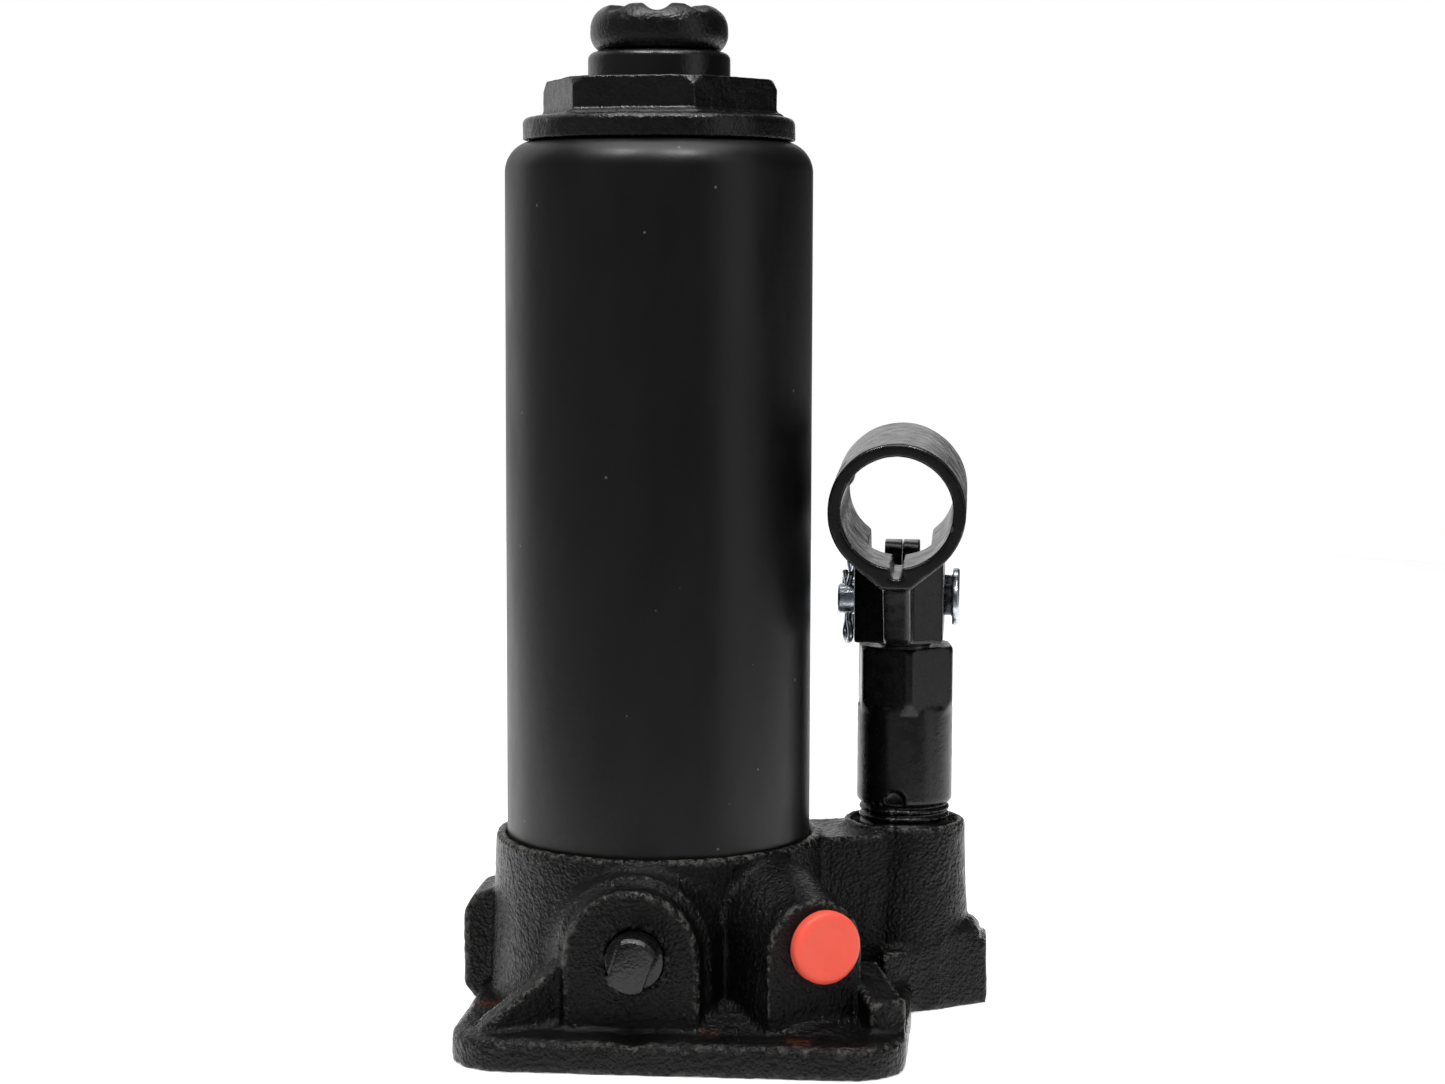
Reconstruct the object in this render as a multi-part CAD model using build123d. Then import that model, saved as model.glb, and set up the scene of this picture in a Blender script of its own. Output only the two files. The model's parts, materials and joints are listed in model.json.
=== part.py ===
from build123d import *
import os
from math import atan2, cos, degrees, hypot, radians, sin, sqrt

# A small hydraulic bottle jack, 194 mm tall when closed.
# Millimetres. +Z is up, the origin is on the ram's axis at the base's underside,
# +X points towards the pump and -Y towards the person who works the release valve.

# ---- driving dimensions ------------------------------------------------------------
# base casting
RIM_HEIGHT = 6.0
PLATE_LEFT_X = -34.1
PLATE_RIGHT_X = 49.6
PLATE_FRONT_Y = -48.0
PLATE_BACK_Y = 44.0
PLATE_CORNER_R = 11.0
APRON_TOP = 9.5
COLLAR_R = 31.5
COLLAR_TOP = 36.0
COLLAR_DRAFT = 1.3
SCOOP_R = 11.0
SCOOP_DEPTH = 0.6
CORE_DEPTH = 4.0
CORE_WALL = 5.0
FOOT_PAD_R = 22.0
CYLINDER_SEAT_Z = 22.0
RESERVOIR_FLOOR_Z = 28.0

# reservoir, main cylinder and top nut
TUBE_R = 29.4
TUBE_WALL = 2.0
TUBE_TOP = 168.7
TUBE_SHOULDER_R = 6.0
TANK_SEAL = 1.6
COPPER = 1.0
CYLINDER_R = 19.0
CYLINDER_BORE_R = 15.0
CYLINDER_TOP = 171.3
NUT_FLANGE_R = 25.95
NUT_FLANGE_TOP = 173.1
NUT_HEX_ACROSS_FLATS = 39.8
NUT_HEX_TOP = 180.1
NUT_HEX_CORNER_ANGLE = -67.7
NUT_HEX_STEP = 1.2
NUT_HEX_STEP_HEIGHT = 0.7
NUT_SHOULDER_Z = 171.5
NUT_SKIRT_R = 20.4
NUT_SKIRT_BOTTOM = 158.0
WIPER_LOW = 175.6
WIPER_HIGH = 178.2
FILLER_Z = 146.0
FILLER_STEM_R = 3.6

# ram, piston and extension screw
RAM_R = 13.55
RAM_BOTTOM = 45.0
RAM_TOP = 185.4
RAM_BORE_R = 10.2
RAM_THREAD_LENGTH = 20.0
PISTON_R = 14.9
PISTON_STEM_R = 8.0
SCREW_EXTENSION = 60.0
SCREW_CREST_R = 9.0
SCREW_ROOT_R = 7.7
SCREW_PITCH = 3.0
SCREW_BOTTOM = 101.4
STOP_RING_LOW = 103.0
SADDLE_R = 13.1
SADDLE_BOTTOM = 185.6
SADDLE_TOP = 194.0
SADDLE_NOTCHES = 8
SADDLE_NOTCH_R = 3.2
SADDLE_NOTCH_DEPTH = 1.1
SADDLE_NOTCH_ANGLE = -86.3

# pump, its lever and its links
PUMP_X = 47.4
PUMP_Y = 15.1
PUMP_BOSS_R = 12.0
PUMP_BOSS_TOP = 36.5
PUMP_SEAT_Z = 17.5
PUMP_BODY_R = 9.4
PUMP_THREAD_R = 9.0
PUMP_THREAD_TOP = 40.3
PUMP_HEX_BOTTOM = 58.0
PUMP_HEX_TOP = 71.0
PUMP_HEX_ACROSS_FLATS = 17.9
PUMP_HEX_CORNER_R = 10.1
PUMP_HEX_CORNER_ANGLE = -83.5
PUMP_BORE_R = 4.9
PUMP_WIPER_R = 7.0
PUMP_WIPER_LOW = PUMP_HEX_TOP - 3.4
PUMP_WIPER_HIGH = PUMP_HEX_TOP - 1.0
PUMP_VENT_R = 1.9
PUMP_VENT_X = PUMP_X - 1.6
PUMP_VENT_Z = PUMP_THREAD_TOP + 0.6
PLUNGER_R = 4.8
PLUNGER_BOTTOM = 20.0
PLUNGER_TOP = 86.0
PLUNGER_EYE_R = 7.9
PLUNGER_PIN_Z = 79.7
PLUNGER_PIN_R = 3.0
PLUNGER_STROKE = 10.0
PIVOT_PLAY = 0.35
PIN_DRIFT = 0.6
LEVER_SIDE_PLAY = 1.2
PIN_LEFT = 12.2
PIN_HEAD_STAND_OFF = 1.65
PIN_HEAD = 1.35
LINK_TOP_Y = 33.5
LINK_TOP_Z = 79.7
LINK_RISE = 10.0
LINK_BASE_Z = 24.0
LINK_PIN_R = 3.0
LINK_THICKNESS = 3.4
LINK_GAP = 0.2
LINK_END_R = 5.0
LINK_SWING_ROOM = 1.6
EAR_END_R = 7.0
LUG_END_R = 6.5
LUG_THICKNESS = 4.2
COTTER_R = 0.9
COTTER_WIRE_R = 0.65
COTTER_EYE_R = 1.9
COTTER_TURN = 20.0
COTTER_INSET = 2.0

# handle socket
SOCKET_R = 13.0
SOCKET_BORE_R = 10.5
SOCKET_LENGTH = 42.0
SOCKET_FRONT_Y = -14.9
SOCKET_FRONT_Z = 99.3
SOCKET_TILT = 2.45
SHEET = 2.5
EAR_HALF_WIDTH = 8.65
NECK_HALF_WIDTH = 2.6
SLIT_WIDTH = 2.2

# release valve
VALVE_Z = 19.4
VALVE_R = 5.3
VALVE_FACE_Y = -40.0
VALVE_END_Y = -46.6
VALVE_BOSS_HALF_WIDTH = 12.5
VALVE_BOSS_X = -0.8
VALVE_FLAT_TILT = 20.0
VALVE_BALL_R = 3.0
VALVE_SEAT_Y = -25.0

# overload relief valve
RELIEF_ANGLE = 31.0
RELIEF_X = 34.0
RELIEF_Y = -35.1
RELIEF_Z = 21.6
RELIEF_CAP_R = 6.75
RELIEF_CAP_HEIGHT = 2.6
RELIEF_BORE_R = 4.5
RELIEF_BORE_DEPTH = 17.0
RELIEF_BALL_R = 2.0
RELIEF_LIFT = 0.4
RELIEF_SCREW_DEPTH = 8.4
RELIEF_BOSS_HALF_WIDTH = 9.7
RELIEF_BOSS_SHIFT = -1.4

# oil passages and check valves
PASSAGE_R = 1.5
CHECK_BALL_R = 2.5
CHECK_POCKET_R = 3.2
STRAINER_RADIUS = 23.5

# clearances
SLIDING_GAP = 0.1
THREAD_GAP = 0.1
SEAT_GAP = 0.05
PIN_GAP = 0.08

# ---- sizes that follow ---------------------------------------------------------------
ON_BASE = (Align.CENTER, Align.CENTER, Align.MIN)
PUMP_ANGLE = degrees(atan2(PUMP_Y, PUMP_X))
PUMP_DISTANCE = hypot(PUMP_X, PUMP_Y)
EAR_INNER = EAR_HALF_WIDTH - SHEET
LEVER_X = PUMP_X - LEVER_SIDE_PLAY
LINK_PAIR = LINK_GAP / 2 + LINK_THICKNESS
STOP_RING_HIGH = RAM_TOP - RAM_THREAD_LENGTH - SCREW_EXTENSION - 0.4
SOCKET_AXIS = Vector(0, cos(radians(SOCKET_TILT)), sin(radians(SOCKET_TILT)))
SOCKET_MOUTH = Vector(LEVER_X, SOCKET_FRONT_Y, SOCKET_FRONT_Z)
RELIEF_OUT = Vector(sin(radians(RELIEF_ANGLE)), -cos(radians(RELIEF_ANGLE)), 0)
RELIEF_FACE = Vector(RELIEF_X, RELIEF_Y, RELIEF_Z)
BALL_SEAT_RISE = sqrt(CHECK_BALL_R ** 2 - PASSAGE_R ** 2)
SUCTION_SEAT_Z = 9.5
DELIVERY_SEAT_Z = 12.0


# ---- shapes used more than once --------------------------------------------------------
def disc(radius, low, high, x=0.0, y=0.0):
    """An upright round bar between two heights."""
    return Pos(x, y, low) * Cylinder(radius, high - low, align=ON_BASE)


def ring(outer, inner, low, high, x=0.0, y=0.0):
    """An upright tube or washer between two heights."""
    return disc(outer, low, high, x, y) - disc(inner, low - 1, high + 1, x, y)


def drafted(low_radius, high_radius, low, high, x=0.0, y=0.0):
    """An upright boss that narrows towards its top, as a casting does."""
    return Pos(x, y, low) * Cone(low_radius, high_radius, high - low, align=ON_BASE)


def rod(start, end, radius):
    """A round bar from one point to another."""
    start = Vector(*start)
    along = Vector(*end) - start
    return Plane(origin=start, z_dir=along) * Cylinder(radius, along.length, align=ON_BASE)


def block(low, high):
    """A box given by its lowest and highest corners."""
    size = [b - a for a, b in zip(low, high)]
    return Pos(*low) * Box(*size, align=(Align.MIN, Align.MIN, Align.MIN))


def ball(radius, centre):
    """A steel ball."""
    return Pos(*centre) * Sphere(radius)


def arch(plane, half_width, centre, foot):
    """A tombstone outline: straight sides up from the foot and a half circle on top."""
    outline = Polyline((-half_width, centre), (-half_width, foot), (half_width, foot),
                       (half_width, centre))
    crown = ThreePointArc((half_width, centre), (0, centre + half_width), (-half_width, centre))
    return plane * make_face([outline, crown])


def wall(start, end, thickness):
    """An upright rib. Each end is given by x, y and the height of its top."""
    run = Vector(end[0] - start[0], end[1] - start[1], 0)
    side = Plane(origin=(start[0], start[1], 0), x_dir=run, z_dir=run.cross(Vector(0, 0, 1)))
    outline = Polyline((0, 0), (run.length, 0), (run.length, end[2]), (0, start[2]), close=True)
    return extrude(side * make_face(outline), thickness / 2, both=True)


def coil_spring(radius, wire, turns, length):
    """A compression spring along Z that starts at the origin, its end coils left open."""
    path = Helix(pitch=(length - 2 * wire) / turns, height=length - 2 * wire, radius=radius)
    start = Plane(origin=path @ 0, z_dir=path % 0)
    return Pos(0, 0, wire) * sweep(start * Circle(wire), path=path, is_frenet=True)


def across_pin(y, z, radius, left, right, head_radius):
    """A lever pin along X with a flat head on the right and a cross hole for its cotter."""
    shank = rod((left, y, z), (right, y, z), radius)
    head = rod((right - SEAT_GAP, y, z), (right + PIN_HEAD, y, z), head_radius)
    pin = shank + fillet(head.edges().filter_by(GeomType.CIRCLE), PIN_HEAD * 0.3)
    hole_x = left + COTTER_INSET
    return pin - rod((hole_x, y, z - head_radius), (hole_x, y, z + head_radius), COTTER_R + SLIDING_GAP)


def cotter(x, y, z, pin_radius):
    """A split pin that hangs through a lever pin, its eye below and its two legs spread above."""
    eye_z = z - pin_radius - COTTER_EYE_R - 1.6
    above = z + pin_radius + 0.4
    split = rod((x, y, eye_z + COTTER_EYE_R - 0.2), (x, y, above), COTTER_R)
    eye = Pos(x, y, eye_z) * Rot(0, 0, COTTER_TURN) * Rot(0, 90, 0) * Torus(COTTER_EYE_R, COTTER_WIRE_R)
    legs = [rod((x, y, above - 0.7), (x, y + side * 2.0, above + 1.8), COTTER_WIRE_R) for side in (-1, 1)]
    return split + eye + legs[0] + legs[1]


# ---- base casting -------------------------------------------------------------------------
def plate():
    """The foot of the jack, a flat rounded plate with a softened top edge."""
    width = PLATE_RIGHT_X - PLATE_LEFT_X
    depth = PLATE_BACK_Y - PLATE_FRONT_Y
    centre = ((PLATE_RIGHT_X + PLATE_LEFT_X) / 2, (PLATE_BACK_Y + PLATE_FRONT_Y) / 2)
    rim = extrude(Pos(*centre) * RectangleRounded(width, depth, PLATE_CORNER_R), RIM_HEIGHT)
    rim = fillet(rim.edges().group_by(Axis.Z)[-1], 1.8)
    low = Pos(*centre, RIM_HEIGHT - 1) * RectangleRounded(width - 9, depth - 9, PLATE_CORNER_R - 3)
    high = Pos(*centre, APRON_TOP) * RectangleRounded(width - 34, depth - 34, PLATE_CORNER_R - 4)
    return rim + loft([low, high])


def valve_boss():
    """The tombstone in front that holds the release valve, with a wider arch behind it."""
    def facing(inwards):
        return Plane(origin=(VALVE_BOSS_X, VALVE_FACE_Y + inwards, 0), x_dir=(1, 0, 0), z_dir=(0, -1, 0))
    half = VALVE_BOSS_HALF_WIDTH
    nose = loft([arch(facing(7), half + 0.7, VALVE_Z, 1), arch(facing(0), half, VALVE_Z, 1)])
    root = loft([arch(facing(17), half + 6.0, VALVE_Z - 1, 1), arch(facing(5), half + 1.6, VALVE_Z, 1)])
    return nose + root


def relief_boss():
    """The smaller tombstone to the right of it, turned outwards, for the overload valve."""
    def facing(inwards):
        origin = RELIEF_FACE - RELIEF_OUT * inwards
        side = Vector(-RELIEF_OUT.Y, RELIEF_OUT.X, 0)
        face = Plane(origin=(origin.X, origin.Y, 0), x_dir=side, z_dir=RELIEF_OUT)
        return face * Pos(RELIEF_BOSS_SHIFT, 0, 0)
    half = RELIEF_BOSS_HALF_WIDTH
    low = RELIEF_Z - 1.2
    nose = loft([arch(facing(4), half + 0.6, low, 1), arch(facing(0), half, low, 1)])
    root = loft([arch(facing(18), half + 1.6, low + 3.4, 1), arch(facing(4), half + 0.6, low, 1)])
    return nose + root


def pump_boss():
    """The boss that the pump screws into, its web to the collar and its foot."""
    boss = drafted(PUMP_BOSS_R + 1.2, PUMP_BOSS_R, 0, PUMP_BOSS_TOP, PUMP_X, PUMP_Y)
    boss = fillet(boss.edges().group_by(Axis.Z)[-1], 1.2)
    web = Rot(0, 0, PUMP_ANGLE) * block((0, -10.5, 0), (PUMP_DISTANCE, 9.5, COLLAR_TOP - 1.2))
    foot = Polyline((44.0, -2.6), (64.0, 10.8), (64.0, 22.5), (58.0, 30.0), (44.0, 30.0), close=True)
    low_foot = extrude(make_face(foot), 12.5)
    shoulder = Polyline((55.0, 4.4), (62.6, 10.6), (62.6, 20.0), (55.0, 24.0), close=True)
    high_foot = extrude(Pos(0, 0, 12) * make_face(shoulder), 4)
    return boss + web + low_foot + chamfer(high_foot.edges().group_by(Axis.Z)[-1], 1.5)


def link_lugs():
    """Two lugs behind the pump boss that hold the lower pin of the links."""
    half = LINK_PAIR + SLIDING_GAP + LUG_THICKNESS
    stem = block((LEVER_X - half, PUMP_Y, 0), (LEVER_X + half, LINK_TOP_Y + LUG_END_R, LINK_BASE_Z))
    crown = rod((LEVER_X - half, LINK_TOP_Y, LINK_BASE_Z), (LEVER_X + half, LINK_TOP_Y, LINK_BASE_Z),
                LUG_END_R)
    return stem + crown


def link_slot():
    """The gap between the lugs where the two links swing."""
    half = LINK_PAIR + SLIDING_GAP
    room = LINK_END_R + LINK_SWING_ROOM
    return block((LEVER_X - half, LINK_TOP_Y - room, LINK_BASE_Z - room),
                 (LEVER_X + half, LINK_TOP_Y + 2 * room, LINK_BASE_Z + 3 * room))


def left_lug():
    """The drilling boss on the left side, with its sloping top and an undercut at its foot."""
    outline = Polyline((-35.0, 0), (-35.0, 1.0), (-38.0, 5.0), (-38.0, 19.6), (-36.0, 23.0), (-27.0, 25.4),
                       (-27.0, 0), close=True)
    return extrude(Plane(origin=(0, 12, 0), x_dir=(1, 0, 0), z_dir=(0, -1, 0)) * make_face(outline), 16)


def ribs():
    """Ribs from the bosses and the collar down to the corners of the foot."""
    front_left = wall((-11, -33, 21), (-28, -42, 7.5), 5)
    front_right = wall((40, -22, 16), (46.2, -36, 11.5), 7)
    back_left = wall((-18, 24, 24), (-28, 38, 7.5), 5)
    back_right = wall((18, 26, 24), (40, 39, 7.5), 5)
    return front_left + front_right + back_left + back_right


def casting_core():
    """The hollow underneath: a rim, a round pad in the middle and solid metal under the pump."""
    width = PLATE_RIGHT_X - PLATE_LEFT_X - 2 * CORE_WALL
    depth = PLATE_BACK_Y - PLATE_FRONT_Y - 2 * CORE_WALL
    centre = ((PLATE_RIGHT_X + PLATE_LEFT_X) / 2, (PLATE_BACK_Y + PLATE_FRONT_Y) / 2)
    hollow = extrude(Pos(*centre) * RectangleRounded(width, depth, PLATE_CORNER_R - 4), CORE_DEPTH)
    hollow -= disc(FOOT_PAD_R, -1, CORE_DEPTH + 1)
    hollow -= disc(PUMP_BOSS_R + 3, -1, CORE_DEPTH + 1, PUMP_X, PUMP_Y)
    hollow -= block((0, -3, -1), (PUMP_X, 3, CORE_DEPTH + 1))
    return hollow - block((-3, PLATE_FRONT_Y, -1), (3, PLATE_BACK_Y, CORE_DEPTH + 1))


def machined_seats():
    """Everything that is bored: the cylinder's and tank's seats, the pump's and the two valves'."""
    cut = disc(CYLINDER_R + SEAT_GAP, CYLINDER_SEAT_Z, 60)
    cut += ring(TUBE_R + SEAT_GAP, CYLINDER_R - 1, RESERVOIR_FLOOR_Z, 60)
    cut += disc(PUMP_THREAD_R + SEAT_GAP, PUMP_SEAT_Z, 60, PUMP_X, PUMP_Y)
    cut += disc(PUMP_THREAD_R + 1.7, PUMP_BOSS_TOP - 1.6, 60, PUMP_X, PUMP_Y)
    cut += rod((0, VALVE_FACE_Y - 12, VALVE_Z), (0, VALVE_SEAT_Y - 7, VALVE_Z), VALVE_R + SLIDING_GAP)
    cut += rod((0, VALVE_FACE_Y, VALVE_Z), (0, VALVE_SEAT_Y, VALVE_Z), VALVE_BALL_R + 0.3)
    cut += rod((0, -37.6, VALVE_Z), (0, -35.6, VALVE_Z), VALVE_R + 1.7)
    cut += rod(relief_point(-10), relief_point(RELIEF_BORE_DEPTH), RELIEF_BORE_R + SEAT_GAP)
    lug_pin = LINK_PIN_R + SLIDING_GAP
    cut += rod((LEVER_X - 20, LINK_TOP_Y, LINK_BASE_Z), (LEVER_X + 20, LINK_TOP_Y, LINK_BASE_Z), lug_pin)
    return cut


def oil_passages():
    """The drillings between the tank, the pump, the cylinder and the valves."""
    line = Vector(cos(radians(PUMP_ANGLE)), sin(radians(PUMP_ANGLE)), 0)
    strainer = line * STRAINER_RADIUS
    suction_z = SUCTION_SEAT_Z - 3.0
    cuts = [
        disc(CHECK_POCKET_R, SUCTION_SEAT_Z, PUMP_SEAT_Z + 1, PUMP_X, PUMP_Y),
        disc(PASSAGE_R, suction_z, SUCTION_SEAT_Z + 1, PUMP_X, PUMP_Y),
        rod((strainer.X, strainer.Y, suction_z), (PUMP_X, PUMP_Y, suction_z), PASSAGE_R),
        disc(PASSAGE_R, suction_z, RESERVOIR_FLOOR_Z + 1, strainer.X, strainer.Y),
        disc(CHECK_POCKET_R, DELIVERY_SEAT_Z, CYLINDER_SEAT_Z + 1),
        disc(PASSAGE_R, DELIVERY_SEAT_Z - 4, DELIVERY_SEAT_Z + 1),
        rod((0, 0, DELIVERY_SEAT_Z - 3), (-42, 0, DELIVERY_SEAT_Z - 3), PASSAGE_R),
        rod((-40, 0, DELIVERY_SEAT_Z - 3), (-34, 0, DELIVERY_SEAT_Z - 3), CHECK_BALL_R),
        rod((0, 0, DELIVERY_SEAT_Z - 2.4), (PUMP_X, PUMP_Y, PUMP_SEAT_Z - 1), PASSAGE_R),
        rod((0, VALVE_SEAT_Y - 1, VALVE_Z), (0, -9, VALVE_Z), PASSAGE_R),
        disc(PASSAGE_R, VALVE_Z, CYLINDER_SEAT_Z + 1, 0, -9),
        disc(PASSAGE_R, VALVE_Z + 1, RESERVOIR_FLOOR_Z + 1, 0, VALVE_SEAT_Y - 1.2),
        rod(relief_point(RELIEF_BORE_DEPTH - 1), (8, -5, 18.6), PASSAGE_R),
        disc(PASSAGE_R, 18.6, CYLINDER_SEAT_Z + 1, 8, -5),
    ]
    together = cuts[0]
    for cut in cuts[1:]:
        together += cut
    return together


def base_casting():
    """The cast-iron base, one piece from the foot to the collar round the tank."""
    collar = drafted(COLLAR_R + COLLAR_DRAFT, COLLAR_R, 0, COLLAR_TOP)
    collar = fillet(collar.edges().group_by(Axis.Z)[-1], 0.9)
    body = plate() + collar + pump_boss() + link_lugs() + valve_boss() + relief_boss()
    body += left_lug() + ribs()
    body -= casting_core() + machined_seats() + link_slot()
    body -= oil_passages()
    scoop_z = RIM_HEIGHT + SCOOP_R - SCOOP_DEPTH
    scoop = rod((0, PLATE_FRONT_Y - 2, scoop_z), (0, VALVE_FACE_Y - 1, scoop_z), SCOOP_R)
    dimple = rod((-45, 6, 13), (-36.3, 6, 13), 2.6)
    return body - scoop - dimple


# ---- tank, main cylinder and top nut ------------------------------------------------------
def reservoir_tube():
    """The drawn steel tank: a tube with a rounded shoulder and a hole for the nut's skirt."""
    low = RESERVOIR_FLOOR_Z + TANK_SEAL
    outer = fillet(disc(TUBE_R, low, TUBE_TOP).edges().group_by(Axis.Z)[-1], TUBE_SHOULDER_R)
    inner_body = disc(TUBE_R - TUBE_WALL, low - 1, TUBE_TOP - TUBE_WALL)
    inner = fillet(inner_body.edges().group_by(Axis.Z)[-1], TUBE_SHOULDER_R - TUBE_WALL)
    filler_hole = rod((0, TUBE_R - 6, FILLER_Z), (0, TUBE_R + 6, FILLER_Z), FILLER_STEM_R + SEAT_GAP)
    return outer - inner - disc(NUT_SKIRT_R + 0.2, TUBE_TOP - 5, TUBE_TOP + 1) - filler_hole


def filler_plug():
    """The rubber plug in the oil filler hole at the back of the tank."""
    stem = rod((0, TUBE_R - TUBE_WALL - 3, FILLER_Z), (0, TUBE_R + 0.6, FILLER_Z), FILLER_STEM_R)
    lip = rod((0, TUBE_R - TUBE_WALL - 3, FILLER_Z), (0, TUBE_R - TUBE_WALL - 1.2, FILLER_Z), 4.3)
    head = rod((0, TUBE_R + 0.35, FILLER_Z), (0, TUBE_R + 2.0, FILLER_Z), 5.6)
    return stem + lip + fillet(head.edges().group_by(Axis.Y)[-1], 1.0)


def cylinder_tube():
    """The main cylinder, clamped between the base and the top nut, threaded at both ends."""
    tube = ring(CYLINDER_R, CYLINDER_BORE_R, CYLINDER_SEAT_Z + COPPER, CYLINDER_TOP)
    for z in (NUT_SKIRT_BOTTOM - 6, RESERVOIR_FLOOR_Z + 3):
        tube -= ring(CYLINDER_R + 1, CYLINDER_R - 0.8, z, z + 1.6)
    return tube


def hexagon(across_flats, corner_angle, low, high, x=0.0, y=0.0):
    """An upright hexagonal prism with one corner at the given angle."""
    face = Pos(x, y, low) * Rot(0, 0, corner_angle) * RegularPolygon(across_flats / sqrt(3), 6)
    return extrude(face, high - low)


def top_nut():
    """The nut that clamps the tank, guides the ram and stops the piston."""
    flange = disc(NUT_FLANGE_R, TUBE_TOP, NUT_FLANGE_TOP)
    flange = fillet(flange.edges().group_by(Axis.Z)[-1], 1.4)
    head = hexagon(NUT_HEX_ACROSS_FLATS, NUT_HEX_CORNER_ANGLE, NUT_FLANGE_TOP - 1, NUT_HEX_TOP)
    head &= drafted(26.9, 21.8, NUT_FLANGE_TOP - 1, NUT_HEX_TOP)
    root = hexagon(NUT_HEX_ACROSS_FLATS + 2 * NUT_HEX_STEP, NUT_HEX_CORNER_ANGLE, NUT_FLANGE_TOP - 1,
                   NUT_FLANGE_TOP + NUT_HEX_STEP_HEIGHT) & disc(NUT_FLANGE_R - 2, 0, NUT_HEX_TOP)
    nut = flange + head + root + disc(NUT_SKIRT_R, NUT_SKIRT_BOTTOM, TUBE_TOP + 1)
    nut -= disc(CYLINDER_R + SEAT_GAP, NUT_SKIRT_BOTTOM - 1, NUT_SHOULDER_Z)
    nut -= disc(RAM_R + SLIDING_GAP, NUT_SHOULDER_Z - 1, NUT_HEX_TOP + 1)
    nut -= disc(15.6, WIPER_LOW, WIPER_HIGH)
    return nut - ring(23.1, 21.1, TUBE_TOP - 1, TUBE_TOP + 1.5)


# ---- ram and extension screw ----------------------------------------------------------------
def ram():
    """The chromed lifting ram, threaded inside at its top for the extension screw."""
    body = disc(RAM_R, RAM_BOTTOM, RAM_TOP)
    body = fillet(body.edges().group_by(Axis.Z)[-1], 1.5)
    thread_low = RAM_TOP - RAM_THREAD_LENGTH
    body -= disc(RAM_BORE_R, RAM_BOTTOM - 1, thread_low)
    return body - disc(SCREW_CREST_R + THREAD_GAP, thread_low - 1, RAM_TOP + 1)


def ram_piston():
    """The piston that closes the ram's lower end, with a stem for its seals."""
    body = disc(PISTON_R, RAM_BOTTOM - 4, RAM_BOTTOM + 8) - disc(RAM_R + SEAT_GAP, RAM_BOTTOM, 60)
    body += disc(PISTON_STEM_R, 30.5, RAM_BOTTOM - 3)
    return body - ring(PISTON_STEM_R + 1, PISTON_STEM_R - 1.2, 32.0, 33.4)


def thread_ridge(crest, root, pitch, low, high):
    """The ridge of a right-hand trapezoidal thread, its root sunk into the core."""
    base = root - 0.3
    depth = crest - base
    tooth = Polyline((0, 0, -0.44 * pitch), (depth, 0, -0.17 * pitch), (depth, 0, 0.17 * pitch),
                     (0, 0, 0.44 * pitch), close=True)
    path = Helix(pitch=pitch, height=high - low - pitch, radius=base)
    ridge = sweep(Pos(base, 0, 0) * make_face(tooth), path=path, is_frenet=True)
    return Pos(0, 0, low + pitch / 2) * ridge


def saddle():
    """The head on the screw: a rounded bead with a toothed top that grips the load."""
    low = SADDLE_BOTTOM
    profile = make_face([
        Polyline((0, low), (SADDLE_R - 1.6, low)),
        ThreePointArc((SADDLE_R - 1.6, low), (SADDLE_R - 0.1, low + 2.2), (SADDLE_R, low + 3.9)),
        ThreePointArc((SADDLE_R, low + 3.9), (SADDLE_R - 0.7, low + 6.6), (SADDLE_R - 2.9, SADDLE_TOP)),
        Polyline((SADDLE_R - 2.9, SADDLE_TOP), (7.0, SADDLE_TOP), (5.6, SADDLE_TOP - 1.6),
                 (0, SADDLE_TOP - 1.6), (0, low)),
    ])
    head = revolve(Plane.XZ * profile, Axis.Z)
    notch_z = SADDLE_TOP + SADDLE_NOTCH_R - SADDLE_NOTCH_DEPTH
    for place in range(SADDLE_NOTCHES):
        notch = rod((6.4, 0, notch_z), (SADDLE_R + 2, 0, notch_z - 0.7), SADDLE_NOTCH_R)
        head -= Rot(0, 0, SADDLE_NOTCH_ANGLE + place * 360 / SADDLE_NOTCHES) * notch
    return head


def extension_screw():
    """The screw that is turned up by hand before lifting, one piece with its saddle."""
    core = disc(SCREW_ROOT_R, SCREW_BOTTOM, SADDLE_BOTTOM + 1)
    core -= ring(SCREW_CREST_R + 1, SCREW_ROOT_R - 0.9, STOP_RING_LOW, STOP_RING_HIGH)
    ridge = thread_ridge(SCREW_CREST_R, SCREW_ROOT_R, SCREW_PITCH, STOP_RING_HIGH + 0.6,
                         SADDLE_BOTTOM - 2.6)
    return core + ridge + saddle()


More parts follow.
